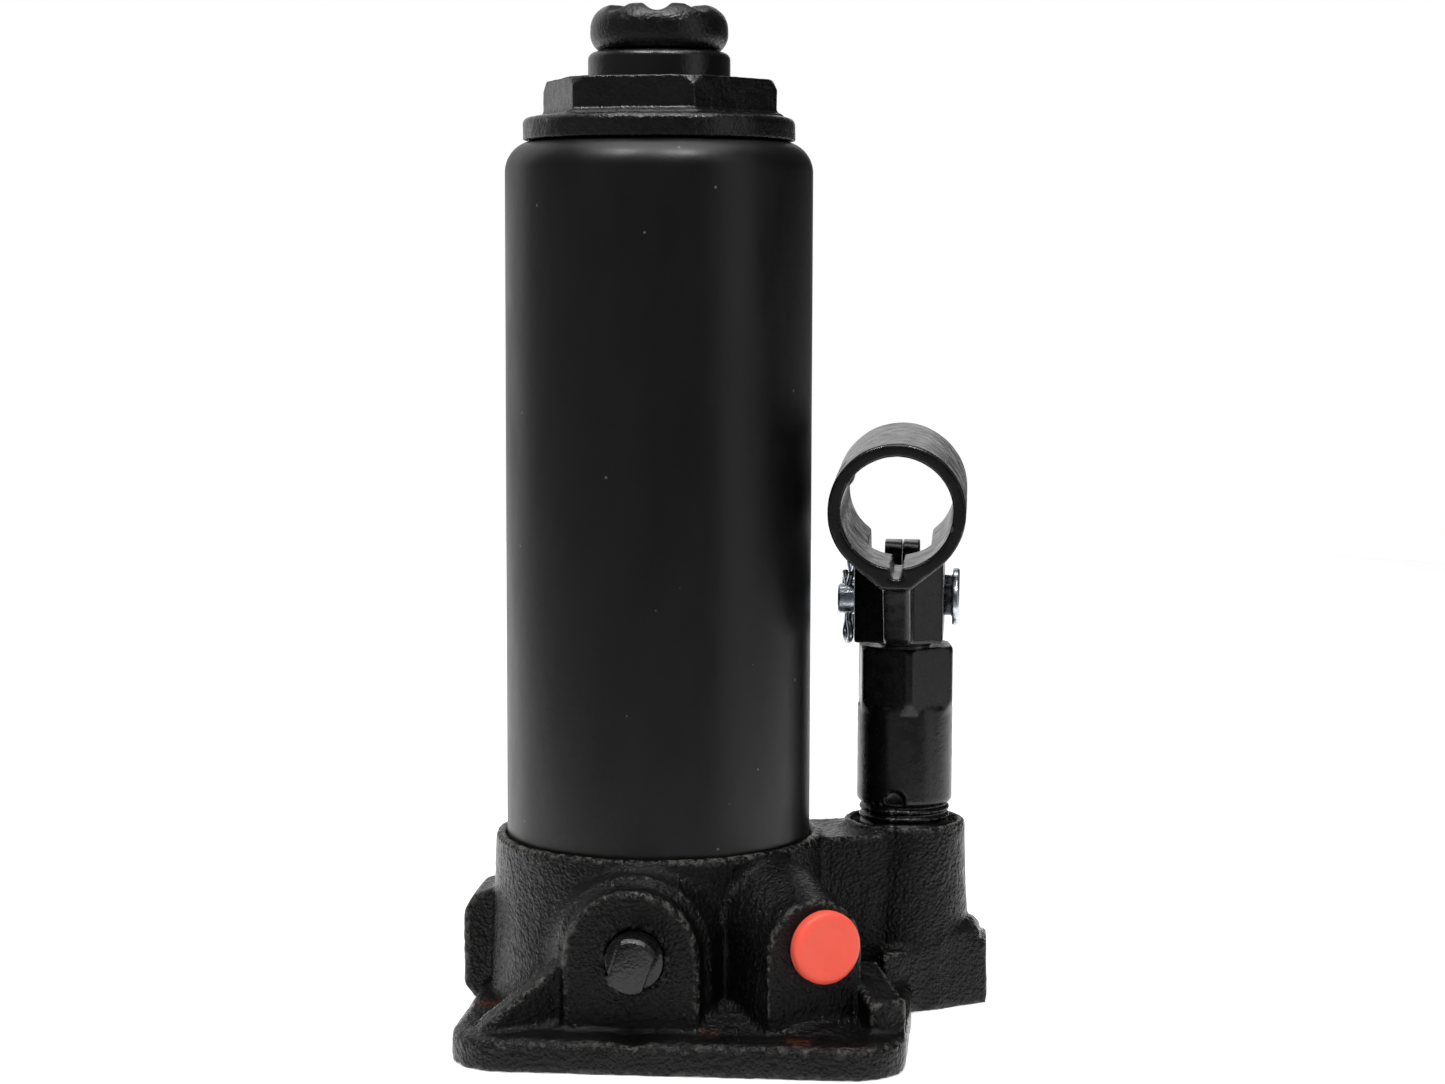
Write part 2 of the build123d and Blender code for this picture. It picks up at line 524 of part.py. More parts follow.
# ---- pump ---------------------------------------------------------------------------------------
def pump_cylinder():
    """The pump body: threaded below, round in the middle and hexagonal on top."""
    body = disc(PUMP_THREAD_R, PUMP_SEAT_Z + COPPER, PUMP_THREAD_TOP, PUMP_X, PUMP_Y)
    body += disc(PUMP_BODY_R, PUMP_THREAD_TOP, PUMP_HEX_BOTTOM + 1, PUMP_X, PUMP_Y)
    head = hexagon(PUMP_HEX_ACROSS_FLATS, PUMP_HEX_CORNER_ANGLE, PUMP_HEX_BOTTOM - 1.5, PUMP_HEX_TOP,
                   PUMP_X, PUMP_Y)
    head &= drafted(PUMP_BODY_R - 0.4, PUMP_HEX_CORNER_R + 5, PUMP_HEX_BOTTOM - 1.5, PUMP_HEX_TOP + 6,
                    PUMP_X, PUMP_Y) & disc(PUMP_HEX_CORNER_R, 0, 100, PUMP_X, PUMP_Y)
    head &= drafted(PUMP_HEX_CORNER_R + 13, PUMP_HEX_CORNER_R - 0.6, PUMP_HEX_BOTTOM - 2, PUMP_HEX_TOP,
                    PUMP_X, PUMP_Y)
    body += head
    for step in range(5):
        z = PUMP_THREAD_TOP - 1.0 - step * 1.5
        body -= ring(PUMP_THREAD_R + 1, PUMP_THREAD_R - 0.7, z - 0.35, z + 0.35, PUMP_X, PUMP_Y)
    body -= disc(PUMP_BORE_R, PUMP_SEAT_Z, PUMP_HEX_TOP + 1, PUMP_X, PUMP_Y)
    body -= disc(PUMP_WIPER_R + SEAT_GAP, PUMP_WIPER_LOW, PUMP_WIPER_HIGH, PUMP_X, PUMP_Y)
    vent = rod((PUMP_VENT_X, PUMP_Y - 12, PUMP_VENT_Z), (PUMP_VENT_X, PUMP_Y - 7.6, PUMP_VENT_Z),
               PUMP_VENT_R)
    above_thread = block((PUMP_X - 10, PUMP_Y - 20, PUMP_THREAD_TOP), (PUMP_X + 10, PUMP_Y, PUMP_HEX_BOTTOM))
    return body - (vent & above_thread)


def pump_plunger():
    """The pump plunger with its eye. The eye's cross hole is long, to let the lever's pin swing."""
    rod_part = disc(PLUNGER_R, PLUNGER_BOTTOM, PLUNGER_PIN_Z, PUMP_X, PUMP_Y)
    rod_part -= ring(PLUNGER_R + 1, PLUNGER_R - 1.9, PLUNGER_BOTTOM + 1.2, PLUNGER_BOTTOM + 4.2,
                     PUMP_X, PUMP_Y)
    eye = rod((PUMP_X - PLUNGER_R, PUMP_Y, PLUNGER_PIN_Z), (PUMP_X + PLUNGER_R, PUMP_Y, PLUNGER_PIN_Z),
              PLUNGER_EYE_R)
    eye &= block((PUMP_X - 8, PUMP_Y - 10, PUMP_HEX_TOP + 1.2), (PUMP_X + 8, PUMP_Y + 10, PLUNGER_TOP))
    hole_radius = PLUNGER_PIN_R + PIVOT_PLAY
    slot = block((PUMP_X - 9, PUMP_Y - PIN_DRIFT, PLUNGER_PIN_Z - hole_radius),
                 (PUMP_X + 9, PUMP_Y + PIN_DRIFT, PLUNGER_PIN_Z + hole_radius))
    for y in (PUMP_Y - PIN_DRIFT, PUMP_Y + PIN_DRIFT):
        slot += rod((PUMP_X - 9, y, PLUNGER_PIN_Z), (PUMP_X + 9, y, PLUNGER_PIN_Z), hole_radius)
    return rod_part + eye - slot


def link_plate(side):
    """One of the two flat links that carry the lever's pivot, left (-1) or right (1)."""
    inner = LEVER_X + side * LINK_GAP / 2
    outer = LEVER_X + side * LINK_PAIR
    low, high = min(inner, outer), max(inner, outer)
    top = LINK_TOP_Z + LINK_RISE
    strip = block((low, LINK_TOP_Y - LINK_END_R, LINK_BASE_Z), (high, LINK_TOP_Y + LINK_END_R, top))
    plate_body = fillet(strip.edges().filter_by(Axis.X).group_by(Axis.Z)[-1], LINK_END_R * 0.6)
    plate_body += rod((low, LINK_TOP_Y, LINK_BASE_Z), (high, LINK_TOP_Y, LINK_BASE_Z), LINK_END_R)
    for z in (LINK_BASE_Z, LINK_TOP_Z):
        plate_body -= rod((low - 1, LINK_TOP_Y, z), (high + 1, LINK_TOP_Y, z), LINK_PIN_R + PIN_GAP)
    return plate_body


# ---- handle socket ---------------------------------------------------------------------------
def socket_ears():
    """The two sheet ears: pinched together in front, then parallel on each side of the plunger."""
    flare_front = 0.6
    flare_back = 4.6
    neck_front = -13.6
    back = LINK_TOP_Y + EAR_END_R
    outline = Polyline(
        (0.1, neck_front), (NECK_HALF_WIDTH, neck_front), (NECK_HALF_WIDTH, flare_front),
        (EAR_HALF_WIDTH, flare_back), (EAR_HALF_WIDTH, back), (EAR_INNER, back),
        (EAR_INNER, flare_back + 1.0), (0.1, flare_front + 1.4), close=True)
    right = extrude(make_face(outline), 24)
    pair = Pos(LEVER_X, 0, 70) * (right + mirror(right, Plane.YZ))
    side_view = Plane(origin=(0, 0, 0), x_dir=(0, 1, 0), z_dir=(1, 0, 0))
    profile = make_face([
        Polyline((neck_front, 90), (neck_front, 85.6), (-6.0, 74.2), (-3.5, 73.0), (8.0, 72.0),
                 (24.0, 72.0), (LINK_TOP_Y, LINK_TOP_Z - EAR_END_R)),
        ThreePointArc((LINK_TOP_Y, LINK_TOP_Z - EAR_END_R), (back, LINK_TOP_Z),
                      (LINK_TOP_Y, LINK_TOP_Z + EAR_END_R)),
        Polyline((LINK_TOP_Y, LINK_TOP_Z + EAR_END_R), (27.0, 93.0), (neck_front, 93.0),
                 (neck_front, 90)),
    ])
    return pair & extrude(side_view * profile, 100)


def handle_socket():
    """The rolled sheet socket for the pump handle, one piece with its two ears."""
    mouth = Plane(origin=SOCKET_MOUTH, x_dir=(1, 0, 0), z_dir=SOCKET_AXIS)
    outer = make_hull((Circle(SOCKET_R) + Pos(0, 14.3) * Rectangle(2 * NECK_HALF_WIDTH, 0.8)).edges())
    slit = Pos(0, SOCKET_BORE_R + 0.8) * Rectangle(SLIT_WIDTH, SHEET)
    inner = make_face((Circle(SOCKET_BORE_R) + slit).face().outer_wire())
    shell = extrude(mouth * outer, SOCKET_LENGTH)
    hollow = extrude(mouth * Pos(0, 0, -5) * inner, SOCKET_LENGTH + 20)
    channel = block((LEVER_X - EAR_INNER, 5.0, 60), (LEVER_X + EAR_INNER, 60, 92.6))
    socket = shell + socket_ears() - hollow - channel
    holes = ((PUMP_Y, PLUNGER_PIN_Z, PLUNGER_PIN_R), (LINK_TOP_Y, LINK_TOP_Z, LINK_PIN_R))
    for y, z, radius in holes:
        socket -= rod((LEVER_X - 20, y, z), (LEVER_X + 20, y, z), radius + PIN_GAP)
    return socket


# ---- release and overload valves -----------------------------------------------------------------
def release_valve():
    """The screw that lets the ram down, with a round nose inside and a tang for the handle."""
    tip_y = VALVE_SEAT_Y - sqrt(VALVE_BALL_R ** 2 - PASSAGE_R ** 2) - VALVE_BALL_R - 0.05
    valve = rod((0, VALVE_END_Y, VALVE_Z), (0, VALVE_SEAT_Y - 7.2, VALVE_Z), VALVE_R)
    valve = chamfer(valve.edges().group_by(Axis.Y)[0], 0.7)
    flat = 3.3
    turned = Plane(origin=(0, 0, VALVE_Z), x_dir=(cos(radians(VALVE_FLAT_TILT)), 0,
                   -sin(radians(VALVE_FLAT_TILT))), z_dir=(0, -1, 0))
    for side in (-1, 1):
        slab = Pos(side * (flat + 5), 0, (-VALVE_FACE_Y - VALVE_END_Y) / 2 + 1) * Box(10, 20, 6)
        valve -= turned * slab
    return valve + rod((0, VALVE_SEAT_Y - 7.4, VALVE_Z), (0, tip_y, VALVE_Z), VALVE_BALL_R)


def relief_point(inwards):
    """A point on the overload valve's axis, given by its depth behind the boss's face."""
    return tuple(RELIEF_FACE - RELIEF_OUT * inwards)


def relief_valve_cap():
    """The red plastic plug that covers the overload valve's adjuster."""
    cap = rod(relief_point(0), relief_point(-RELIEF_CAP_HEIGHT), RELIEF_CAP_R)
    outer_edge = cap.edges().filter_by(GeomType.CIRCLE).sort_by(Axis.Y)[0]
    return fillet(outer_edge, 1.1) + rod(relief_point(3.4), relief_point(-0.5), RELIEF_BORE_R - 0.15)


def relief_adjusting_screw():
    """The slotted grub screw that sets the overload pressure."""
    screw = rod(relief_point(RELIEF_SCREW_DEPTH), relief_point(4.0), RELIEF_BORE_R)
    across = Plane(origin=relief_point(4.4), x_dir=(0, 0, 1), z_dir=RELIEF_OUT)
    return screw - across * Box(12, 1.0, 1.8)


def relief_spring():
    """The stiff spring between the adjuster and the ball."""
    deep = RELIEF_BORE_DEPTH - 2 * RELIEF_BALL_R - RELIEF_LIFT
    low = Plane(origin=relief_point(deep), x_dir=(0, 0, 1), z_dir=RELIEF_OUT)
    return low * coil_spring(2.2, 0.55, 3.5, deep - RELIEF_SCREW_DEPTH)


# ---- writing -----------------------------------------------------------------------------------
def export(name, shape):
    """Write one sub-part to its own file."""
    export_step(shape, f"parts/{name}.step")


def export_main_column():
    """The tank, the main cylinder, the top nut and their seals."""
    export("reservoir_bottom_seal", ring(TUBE_R - 0.1, TUBE_R - 3, RESERVOIR_FLOOR_Z,
                                         RESERVOIR_FLOOR_Z + TANK_SEAL))
    export("reservoir_tube", reservoir_tube())
    export("reservoir_top_seal", ring(23.0, 21.2, TUBE_TOP, TUBE_TOP + 1.5))
    export("filler_plug", filler_plug())
    export("cylinder_gasket", ring(CYLINDER_R - 0.1, CYLINDER_BORE_R + 0.3, CYLINDER_SEAT_Z,
                                   CYLINDER_SEAT_Z + COPPER))
    export("cylinder_tube", cylinder_tube())
    export("top_nut", top_nut())
    export("ram_wiper_seal", ring(15.5, RAM_R + 0.04, WIPER_LOW, WIPER_HIGH))


def export_ram():
    """The ram, its piston and seals, and the screw with its stop ring."""
    seal_r = CYLINDER_BORE_R - 0.03
    stem_r = PISTON_STEM_R + 0.04
    export("ram", ram())
    export("ram_piston", ram_piston())
    export("piston_cup_seal", ring(seal_r, stem_r, 35.0, RAM_BOTTOM - 4))
    export("piston_backup_ring", ring(PISTON_R - 0.3, stem_r, 33.4, 35.0))
    export("piston_retaining_ring", ring(PISTON_STEM_R + 2.4, PISTON_STEM_R - 1.15, 32.05, 33.35))
    export("extension_screw", extension_screw())
    export("screw_stop_ring", ring(RAM_BORE_R - 0.3, SCREW_ROOT_R - 0.82, STOP_RING_LOW + 0.04,
                                   STOP_RING_HIGH - 0.04))


def export_pump():
    """The pump, the handle socket, the links and their pins."""
    left = LEVER_X - PIN_LEFT
    right = LEVER_X + EAR_HALF_WIDTH + PIN_HEAD_STAND_OFF
    export("pump_cylinder", pump_cylinder())
    export("pump_washer", ring(PUMP_THREAD_R - 0.1, PUMP_BORE_R + 0.3, PUMP_SEAT_Z, PUMP_SEAT_Z + COPPER,
                               PUMP_X, PUMP_Y))
    export("pump_wiper", ring(PUMP_WIPER_R, PLUNGER_R + SEAT_GAP, PUMP_WIPER_LOW, PUMP_WIPER_HIGH,
                              PUMP_X, PUMP_Y))
    export("pump_plunger", pump_plunger())
    export("plunger_seal", ring(PUMP_BORE_R - 0.03, PLUNGER_R - 1.85, PLUNGER_BOTTOM + 1.22,
                                PLUNGER_BOTTOM + 4.18, PUMP_X, PUMP_Y))
    export("handle_socket", handle_socket())
    export("link_plate_left", link_plate(-1))
    export("link_plate_right", link_plate(1))
    pins = (("plunger_pin", PUMP_Y, PLUNGER_PIN_Z, PLUNGER_PIN_R, 5.0),
            ("link_top_pin", LINK_TOP_Y, LINK_TOP_Z, LINK_PIN_R, 4.4),
            ("link_base_pin", LINK_TOP_Y, LINK_BASE_Z, LINK_PIN_R, 4.4))
    for name, y, z, radius, head_radius in pins:
        export(name, across_pin(y, z, radius, left, right, head_radius))
        export(name.replace("_pin", "_cotter"), cotter(left + COTTER_INSET, y, z, radius))


def export_valves():
    """The release and overload valves, the check valves, the strainer and the passage plug."""
    line = Vector(cos(radians(PUMP_ANGLE)), sin(radians(PUMP_ANGLE)), 0)
    strainer = line * STRAINER_RADIUS
    ball_y = VALVE_SEAT_Y - sqrt(VALVE_BALL_R ** 2 - PASSAGE_R ** 2)
    relief_depth = RELIEF_BORE_DEPTH - sqrt(RELIEF_BALL_R ** 2 - PASSAGE_R ** 2)
    delivery_spring_low = DELIVERY_SEAT_Z + BALL_SEAT_RISE + CHECK_BALL_R + 0.05
    suction_z = SUCTION_SEAT_Z + BALL_SEAT_RISE
    seal = rod((0, -37.5, VALVE_Z), (0, -35.7, VALVE_Z), VALVE_R + 1.6)
    export("release_valve", release_valve())
    export("release_valve_seal", seal - rod((0, -40, VALVE_Z), (0, -30, VALVE_Z), VALVE_R + 0.05))
    export("release_valve_ball", ball(VALVE_BALL_R, (0, ball_y - 0.03, VALVE_Z)))
    export("relief_valve_cap", relief_valve_cap())
    export("relief_adjusting_screw", relief_adjusting_screw())
    export("relief_spring", relief_spring())
    export("relief_ball", ball(RELIEF_BALL_R, relief_point(relief_depth - 0.2)))
    export("suction_ball", ball(CHECK_BALL_R, (PUMP_X, PUMP_Y, suction_z + 0.03)))
    export("delivery_ball", ball(CHECK_BALL_R, (0, 0, DELIVERY_SEAT_Z + BALL_SEAT_RISE + 0.03)))
    spring_length = CYLINDER_SEAT_Z - 1.5 - delivery_spring_low
    export("delivery_spring", Pos(0, 0, delivery_spring_low) * coil_spring(2.0, 0.35, 3, spring_length))
    export("delivery_retainer", ring(CHECK_POCKET_R - 0.03, 1.3, CYLINDER_SEAT_Z - 1.5, CYLINDER_SEAT_Z))
    export("oil_strainer", disc(2.6, RESERVOIR_FLOOR_Z, RESERVOIR_FLOOR_Z + 1.8, strainer.X, strainer.Y))
    export("passage_plug", ball(CHECK_BALL_R - 0.03, (-36.2, 0, DELIVERY_SEAT_Z - 3)))


export("base_casting", base_casting())
export_main_column()
export_ram()
export_pump()
export_valves()
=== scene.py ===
import json
import math

import bmesh
import bpy
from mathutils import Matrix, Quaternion, Vector, noise


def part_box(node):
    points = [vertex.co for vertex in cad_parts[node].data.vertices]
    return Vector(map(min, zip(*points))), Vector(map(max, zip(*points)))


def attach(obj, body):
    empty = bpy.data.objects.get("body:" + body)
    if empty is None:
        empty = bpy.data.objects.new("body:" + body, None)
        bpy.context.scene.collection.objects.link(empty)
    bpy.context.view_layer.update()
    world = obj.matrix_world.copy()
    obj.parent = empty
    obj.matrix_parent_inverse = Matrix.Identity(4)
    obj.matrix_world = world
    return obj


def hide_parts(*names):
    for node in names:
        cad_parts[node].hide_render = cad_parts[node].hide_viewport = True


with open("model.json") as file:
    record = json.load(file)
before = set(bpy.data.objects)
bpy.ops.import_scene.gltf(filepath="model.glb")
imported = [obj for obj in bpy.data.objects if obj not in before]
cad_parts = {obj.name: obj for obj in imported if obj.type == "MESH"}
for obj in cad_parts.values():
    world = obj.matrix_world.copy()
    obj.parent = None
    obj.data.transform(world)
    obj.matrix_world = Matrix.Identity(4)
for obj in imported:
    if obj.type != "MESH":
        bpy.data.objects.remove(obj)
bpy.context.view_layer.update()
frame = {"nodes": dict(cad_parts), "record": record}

# Metres. The frame is the row's own: +Z up, the origin under the ram, -Y towards the camera.
MM = 0.001


# ---- places read from the frame ------------------------------------------------------------
def span(node):
    """A CAD node's lowest and highest corner."""
    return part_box(node)


def middle(node):
    """The middle of a CAD node's box."""
    low, high = span(node)
    return (low + high) / 2


TANK_LOW, TANK_HIGH = span("reservoir_tube")
TANK_R = (TANK_HIGH.x - TANK_LOW.x) / 2


# ---- building pieces -------------------------------------------------------------------------
def add_object(name, mesh):
    """Puts a mesh in the scene under a name."""
    made = bpy.data.objects.new(name, mesh)
    bpy.context.scene.collection.objects.link(made)
    return made


def finish_piece(piece, body, nodes, material, smooth=True):
    """Gives a piece its material, its body and the CAD nodes that it stands for."""
    piece.data.materials.clear()
    piece.data.materials.append(material)
    if smooth and piece.type == "MESH":
        piece.data.shade_smooth()
    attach(piece, body)
    if nodes:
        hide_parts(*nodes)
    return piece


def applied(piece):
    """Bakes a piece's modifiers into its mesh."""
    bpy.context.view_layer.update()
    shaped = piece.evaluated_get(bpy.context.evaluated_depsgraph_get())
    mesh = bpy.data.meshes.new_from_object(shaped)
    piece.modifiers.clear()
    piece.data = mesh
    return piece


def copy_of(node, name):
    """A copy of a CAD node's mesh, welded into one closed skin."""
    mesh = frame["nodes"][node].data.copy()
    sheet = bmesh.new()
    sheet.from_mesh(mesh)
    bmesh.ops.remove_doubles(sheet, verts=sheet.verts, dist=0.002 * MM)
    sheet.to_mesh(mesh)
    sheet.free()
    return add_object(name, mesh)


def softened(node, name, voxel, rounds):
    """A CAD node skinned again with its edges rounded, as a casting or thick paint has them."""
    piece = copy_of(node, name)
    skin = piece.modifiers.new("skin", "REMESH")
    skin.mode = "VOXEL"
    skin.voxel_size = voxel
    soft = piece.modifiers.new("soft", "SMOOTH")
    soft.factor = 0.5
    soft.iterations = rounds
    return applied(piece)


def bevelled(node, name, width, segments=2, angle=32):
    """A CAD node with its sharp edges broken by a small round."""
    piece = copy_of(node, name)
    sheet = bmesh.new()
    sheet.from_mesh(piece.data)
    bmesh.ops.dissolve_limit(sheet, angle_limit=math.radians(0.6), verts=sheet.verts, edges=sheet.edges)
    sheet.to_mesh(piece.data)
    sheet.free()
    edge = piece.modifiers.new("edge", "BEVEL")
    edge.width = width
    edge.segments = segments
    edge.limit_method = "ANGLE"
    edge.angle_limit = math.radians(angle)
    edge.harden_normals = True
    return applied(piece)


def roughen(piece, *layers):
    """Moves a mesh's points along their normals by noise. A layer is (grain size, depth, seed)."""
    mesh = piece.data
    moves = []
    for point in mesh.vertices:
        total = 0.0
        for grain, depth, seed in layers:
            total += depth * noise.noise(point.co / grain + Vector((seed, seed * 2, -seed)))
        moves.append(point.normal * total)
    for point, move in zip(mesh.vertices, moves):
        point.co += move
    mesh.update()
    return piece


def lathe(name, profile, steps, origin=(0, 0, 0), axis=(0, 0, 1)):
    """A solid of revolution. profile lists (radius, height) in millimetres, from one end to the other."""
    turn = Vector((0, 0, 1)).rotation_difference(Vector(axis)).to_matrix().to_4x4()
    sheet = bmesh.new()
    rings = []
    for radius, height in profile:
        if radius == 0:
            rings.append([sheet.verts.new((0, 0, height * MM))])
            continue
        ring = []
        for step in range(steps):
            angle = 2 * math.pi * step / steps
            ring.append(sheet.verts.new((radius * math.cos(angle) * MM,
                                         radius * math.sin(angle) * MM, height * MM)))
        rings.append(ring)
    for low, high in zip(rings, rings[1:]):
        for step in range(steps):
            after = (step + 1) % steps
            corners = [low[step % len(low)], low[after % len(low)],
                       high[after % len(high)], high[step % len(high)]]
            face = [corner for place, corner in enumerate(corners) if corner not in corners[:place]]
            sheet.faces.new(face)
    bmesh.ops.recalc_face_normals(sheet, faces=sheet.faces)
    bmesh.ops.transform(sheet, matrix=turn, verts=sheet.verts)
    bmesh.ops.translate(sheet, vec=Vector(origin), verts=sheet.verts)
    mesh = bpy.data.meshes.new(name)
    sheet.to_mesh(mesh)
    sheet.free()
    return add_object(name, mesh)


def closed_ring(profile):
    """A lathe profile that returns to its first point, for a tube or a washer."""
    return profile + [profile[0]]


def arc(centre, radius, start, end, steps):
    """Points of an arc in a lathe profile, its angles in degrees."""
    points = []
    for step in range(steps + 1):
        angle = math.radians(start + (end - start) * step / steps)
        points.append((centre[0] + radius * math.cos(angle), centre[1] + radius * math.sin(angle)))
    return points


def wire(name, points, radius, cyclic=False):
    """A round wire drawn along some points, as a mesh."""
    curve = bpy.data.curves.new(name, "CURVE")
    curve.dimensions = "3D"
    curve.bevel_depth = radius
    curve.bevel_resolution = 4
    curve.resolution_u = 10
    curve.use_fill_caps = True
    spline = curve.splines.new("NURBS")
    spline.points.add(len(points) - 1)
    for place, point in zip(spline.points, points):
        place.co = (*point, 1.0)
    spline.order_u = 4
    spline.use_endpoint_u = not cyclic
    spline.use_cyclic_u = cyclic
    holder = add_object(name + "_path", curve)
    bpy.context.view_layer.update()
    mesh = bpy.data.meshes.new_from_object(holder.evaluated_get(bpy.context.evaluated_depsgraph_get()))
    bpy.data.objects.remove(holder)
    return add_object(name, mesh)


def joined(name, pieces):
    """Several meshes as one piece."""
    sheet = bmesh.new()
    for piece in pieces:
        sheet.from_mesh(piece.data)
        bpy.data.objects.remove(piece)
    mesh = bpy.data.meshes.new(name)
    sheet.to_mesh(mesh)
    sheet.free()
    return add_object(name, mesh)


# ---- materials ---------------------------------------------------------------------------------
# Where the casting has started to rust: a point and how far it spreads, in millimetres.
RUST_SPOTS = (((-30, -22, 8), 10), ((14, -41, 8), 6), ((30, -44, 7), 7), ((-8, 43, 6), 12),
              ((-36, 5, 6), 9), ((60, 14, 4), 7))


class Surface:
    """A Principled material that is built up from procedural nodes."""

    def __init__(self, name, color, roughness, metallic=0.0, **sockets):
        self.material = bpy.data.materials.new(name)
        self.material.use_nodes = True
        self.nodes = self.material.node_tree.nodes
        self.links = self.material.node_tree.links
        self.shader = self.nodes["Principled BSDF"]
        self.color = color
        self.set("Base Color", (*color, 1.0))
        self.set("Roughness", roughness)
        self.set("Metallic", metallic)
        for socket, value in sockets.items():
            self.set(socket.replace("_", " "), value)
        self.place = self.nodes.new("ShaderNodeTexCoord").outputs["Object"]
        self.last_normal = None

    def set(self, socket, value):
        """Gives one of the shader's sockets a constant value."""
        self.shader.inputs[socket].default_value = value

    def noise(self, size, detail=3.0, roughness=0.55, stretch=None):
        """Noise whose grain is about size metres, from 0 to 1."""
        made = self.nodes.new("ShaderNodeTexNoise")
        made.inputs["Scale"].default_value = 1.0 / size
        made.inputs["Detail"].default_value = detail
        made.inputs["Roughness"].default_value = roughness
        self.links.new(self.stretched(stretch), made.inputs["Vector"])
        return made.outputs["Fac"]

    def stretched(self, stretch):
        """Object coordinates, scaled along each axis when stretch is given."""
        if stretch is None:
            return self.place
        scaled = self.nodes.new("ShaderNodeMapping")
        scaled.inputs["Scale"].default_value = stretch
        self.links.new(self.place, scaled.inputs["Vector"])
        return scaled.outputs["Vector"]

    def cells(self, size):
        """Distance to the nearest of many scattered points, for grit and pits."""
        made = self.nodes.new("ShaderNodeTexVoronoi")
        made.inputs["Scale"].default_value = 1.0 / size
        self.links.new(self.place, made.inputs["Vector"])
        return made.outputs["Distance"]

    def pointed(self):
        """High on outside edges and low in corners."""
        return self.nodes.new("ShaderNodeNewGeometry").outputs["Pointiness"]

    def math(self, operation, first, second=None):
        """One arithmetic step on a value or a texture."""
        made = self.nodes.new("ShaderNodeMath")
        made.operation = operation
        for place, value in enumerate((first, second)):
            if value is None:
                continue
            if isinstance(value, (int, float)):
                made.inputs[place].default_value = value
            else:
                self.links.new(value, made.inputs[place])
        return made.outputs[0]

    def between(self, value, low, high, out_low=0.0, out_high=1.0):
        """Rescales a value and holds it within its new limits."""
        made = self.nodes.new("ShaderNodeMapRange")
        for socket, number in (("From Min", low), ("From Max", high),
                               ("To Min", out_low), ("To Max", out_high)):
            made.inputs[socket].default_value = number
        self.links.new(value, made.inputs["Value"])
        return made.outputs["Result"]

    def near(self, point, reach):
        """1 at a point, falling to 0 at the given distance from it."""
        made = self.nodes.new("ShaderNodeVectorMath")
        made.operation = "DISTANCE"
        self.links.new(self.place, made.inputs[0])
        made.inputs[1].default_value = point
        return self.between(made.outputs["Value"], 0.0, reach, 1.0, 0.0)

    def height(self):
        """The height above the floor, in metres."""
        made = self.nodes.new("ShaderNodeSeparateXYZ")
        self.links.new(self.place, made.inputs[0])
        return made.outputs["Z"]

    def mix_color(self, amount, color):
        """Lays another colour over the base colour where amount is high."""
        made = self.nodes.new("ShaderNodeMix")
        made.data_type = "RGBA"
        self.links.new(amount, made.inputs["Factor"])
        base = self.shader.inputs["Base Color"]
        if base.is_linked:
            self.links.new(base.links[0].from_socket, made.inputs["A"])
        else:
            made.inputs["A"].default_value = (*self.color, 1.0)
        made.inputs["B"].default_value = (*color, 1.0)
        self.links.new(made.outputs["Result"], base)

    def drive(self, socket, value):
        """Lets a texture set one of the shader's sockets."""
        self.links.new(value, self.shader.inputs[socket])

    def bump(self, value, depth, strength=1.0):
        """Raises the surface by a texture, depth metres from black to white."""
        made = self.nodes.new("ShaderNodeBump")
        made.inputs["Strength"].default_value = strength
        made.inputs["Distance"].default_value = depth
        self.links.new(value, made.inputs["Height"])
        if self.last_normal is not None:
            self.links.new(self.last_normal, made.inputs["Normal"])
        self.last_normal = made.outputs["Normal"]
        self.links.new(self.last_normal, self.shader.inputs["Normal"])


def casting_paint():
    """Gloss black paint over sand-cast iron: lumps, grit, dust, a little rust, and light grey edge lines
    that are partly bare edges and partly painted highlights.
    """
    paint = Surface("casting_paint", (0.0022, 0.0022, 0.0024), 0.25, Specular_IOR_Level=0.19)
    paint.bump(paint.noise(3.6 * MM, 2.0), 0.35 * MM, 0.6)
    paint.bump(paint.noise(1.1 * MM, 4.0, 0.65), 0.50 * MM, 1.0)
    paint.bump(paint.cells(0.75 * MM), 0.20 * MM, 0.9)
    paint.drive("Roughness", paint.between(paint.noise(2.0 * MM, 3.0), 0.3, 0.7, 0.08, 0.24))
    dust = paint.between(paint.noise(7 * MM, 4.0, 0.6), 0.55, 0.8, 0.0, 0.4)
    paint.mix_color(dust, (0.009, 0.0087, 0.008))
    grit = paint.noise(1.3 * MM, 4.0, 0.7)
    spots = None
    for point, reach in RUST_SPOTS:
        spot = paint.near(tuple(value * MM for value in point), reach * MM)
        spots = spot if spots is None else paint.math("MAXIMUM", spots, spot)
    rust = paint.between(paint.math("MULTIPLY", spots, grit), 0.26, 0.5)
    paint.mix_color(rust, (0.048, 0.015, 0.007))
    # Light grey lines on the outside edges: partly bare iron where the paint is worn, partly painted
    # highlights along the edges.
    worn_and_highlit_edges = paint.math("MULTIPLY", paint.between(paint.pointed(), 0.512, 0.56),
                      paint.between(grit, 0.46, 0.60))
    paint.mix_color(paint.math("MULTIPLY", worn_and_highlit_edges, 0.8), (0.14, 0.135, 0.12))
    return paint.material


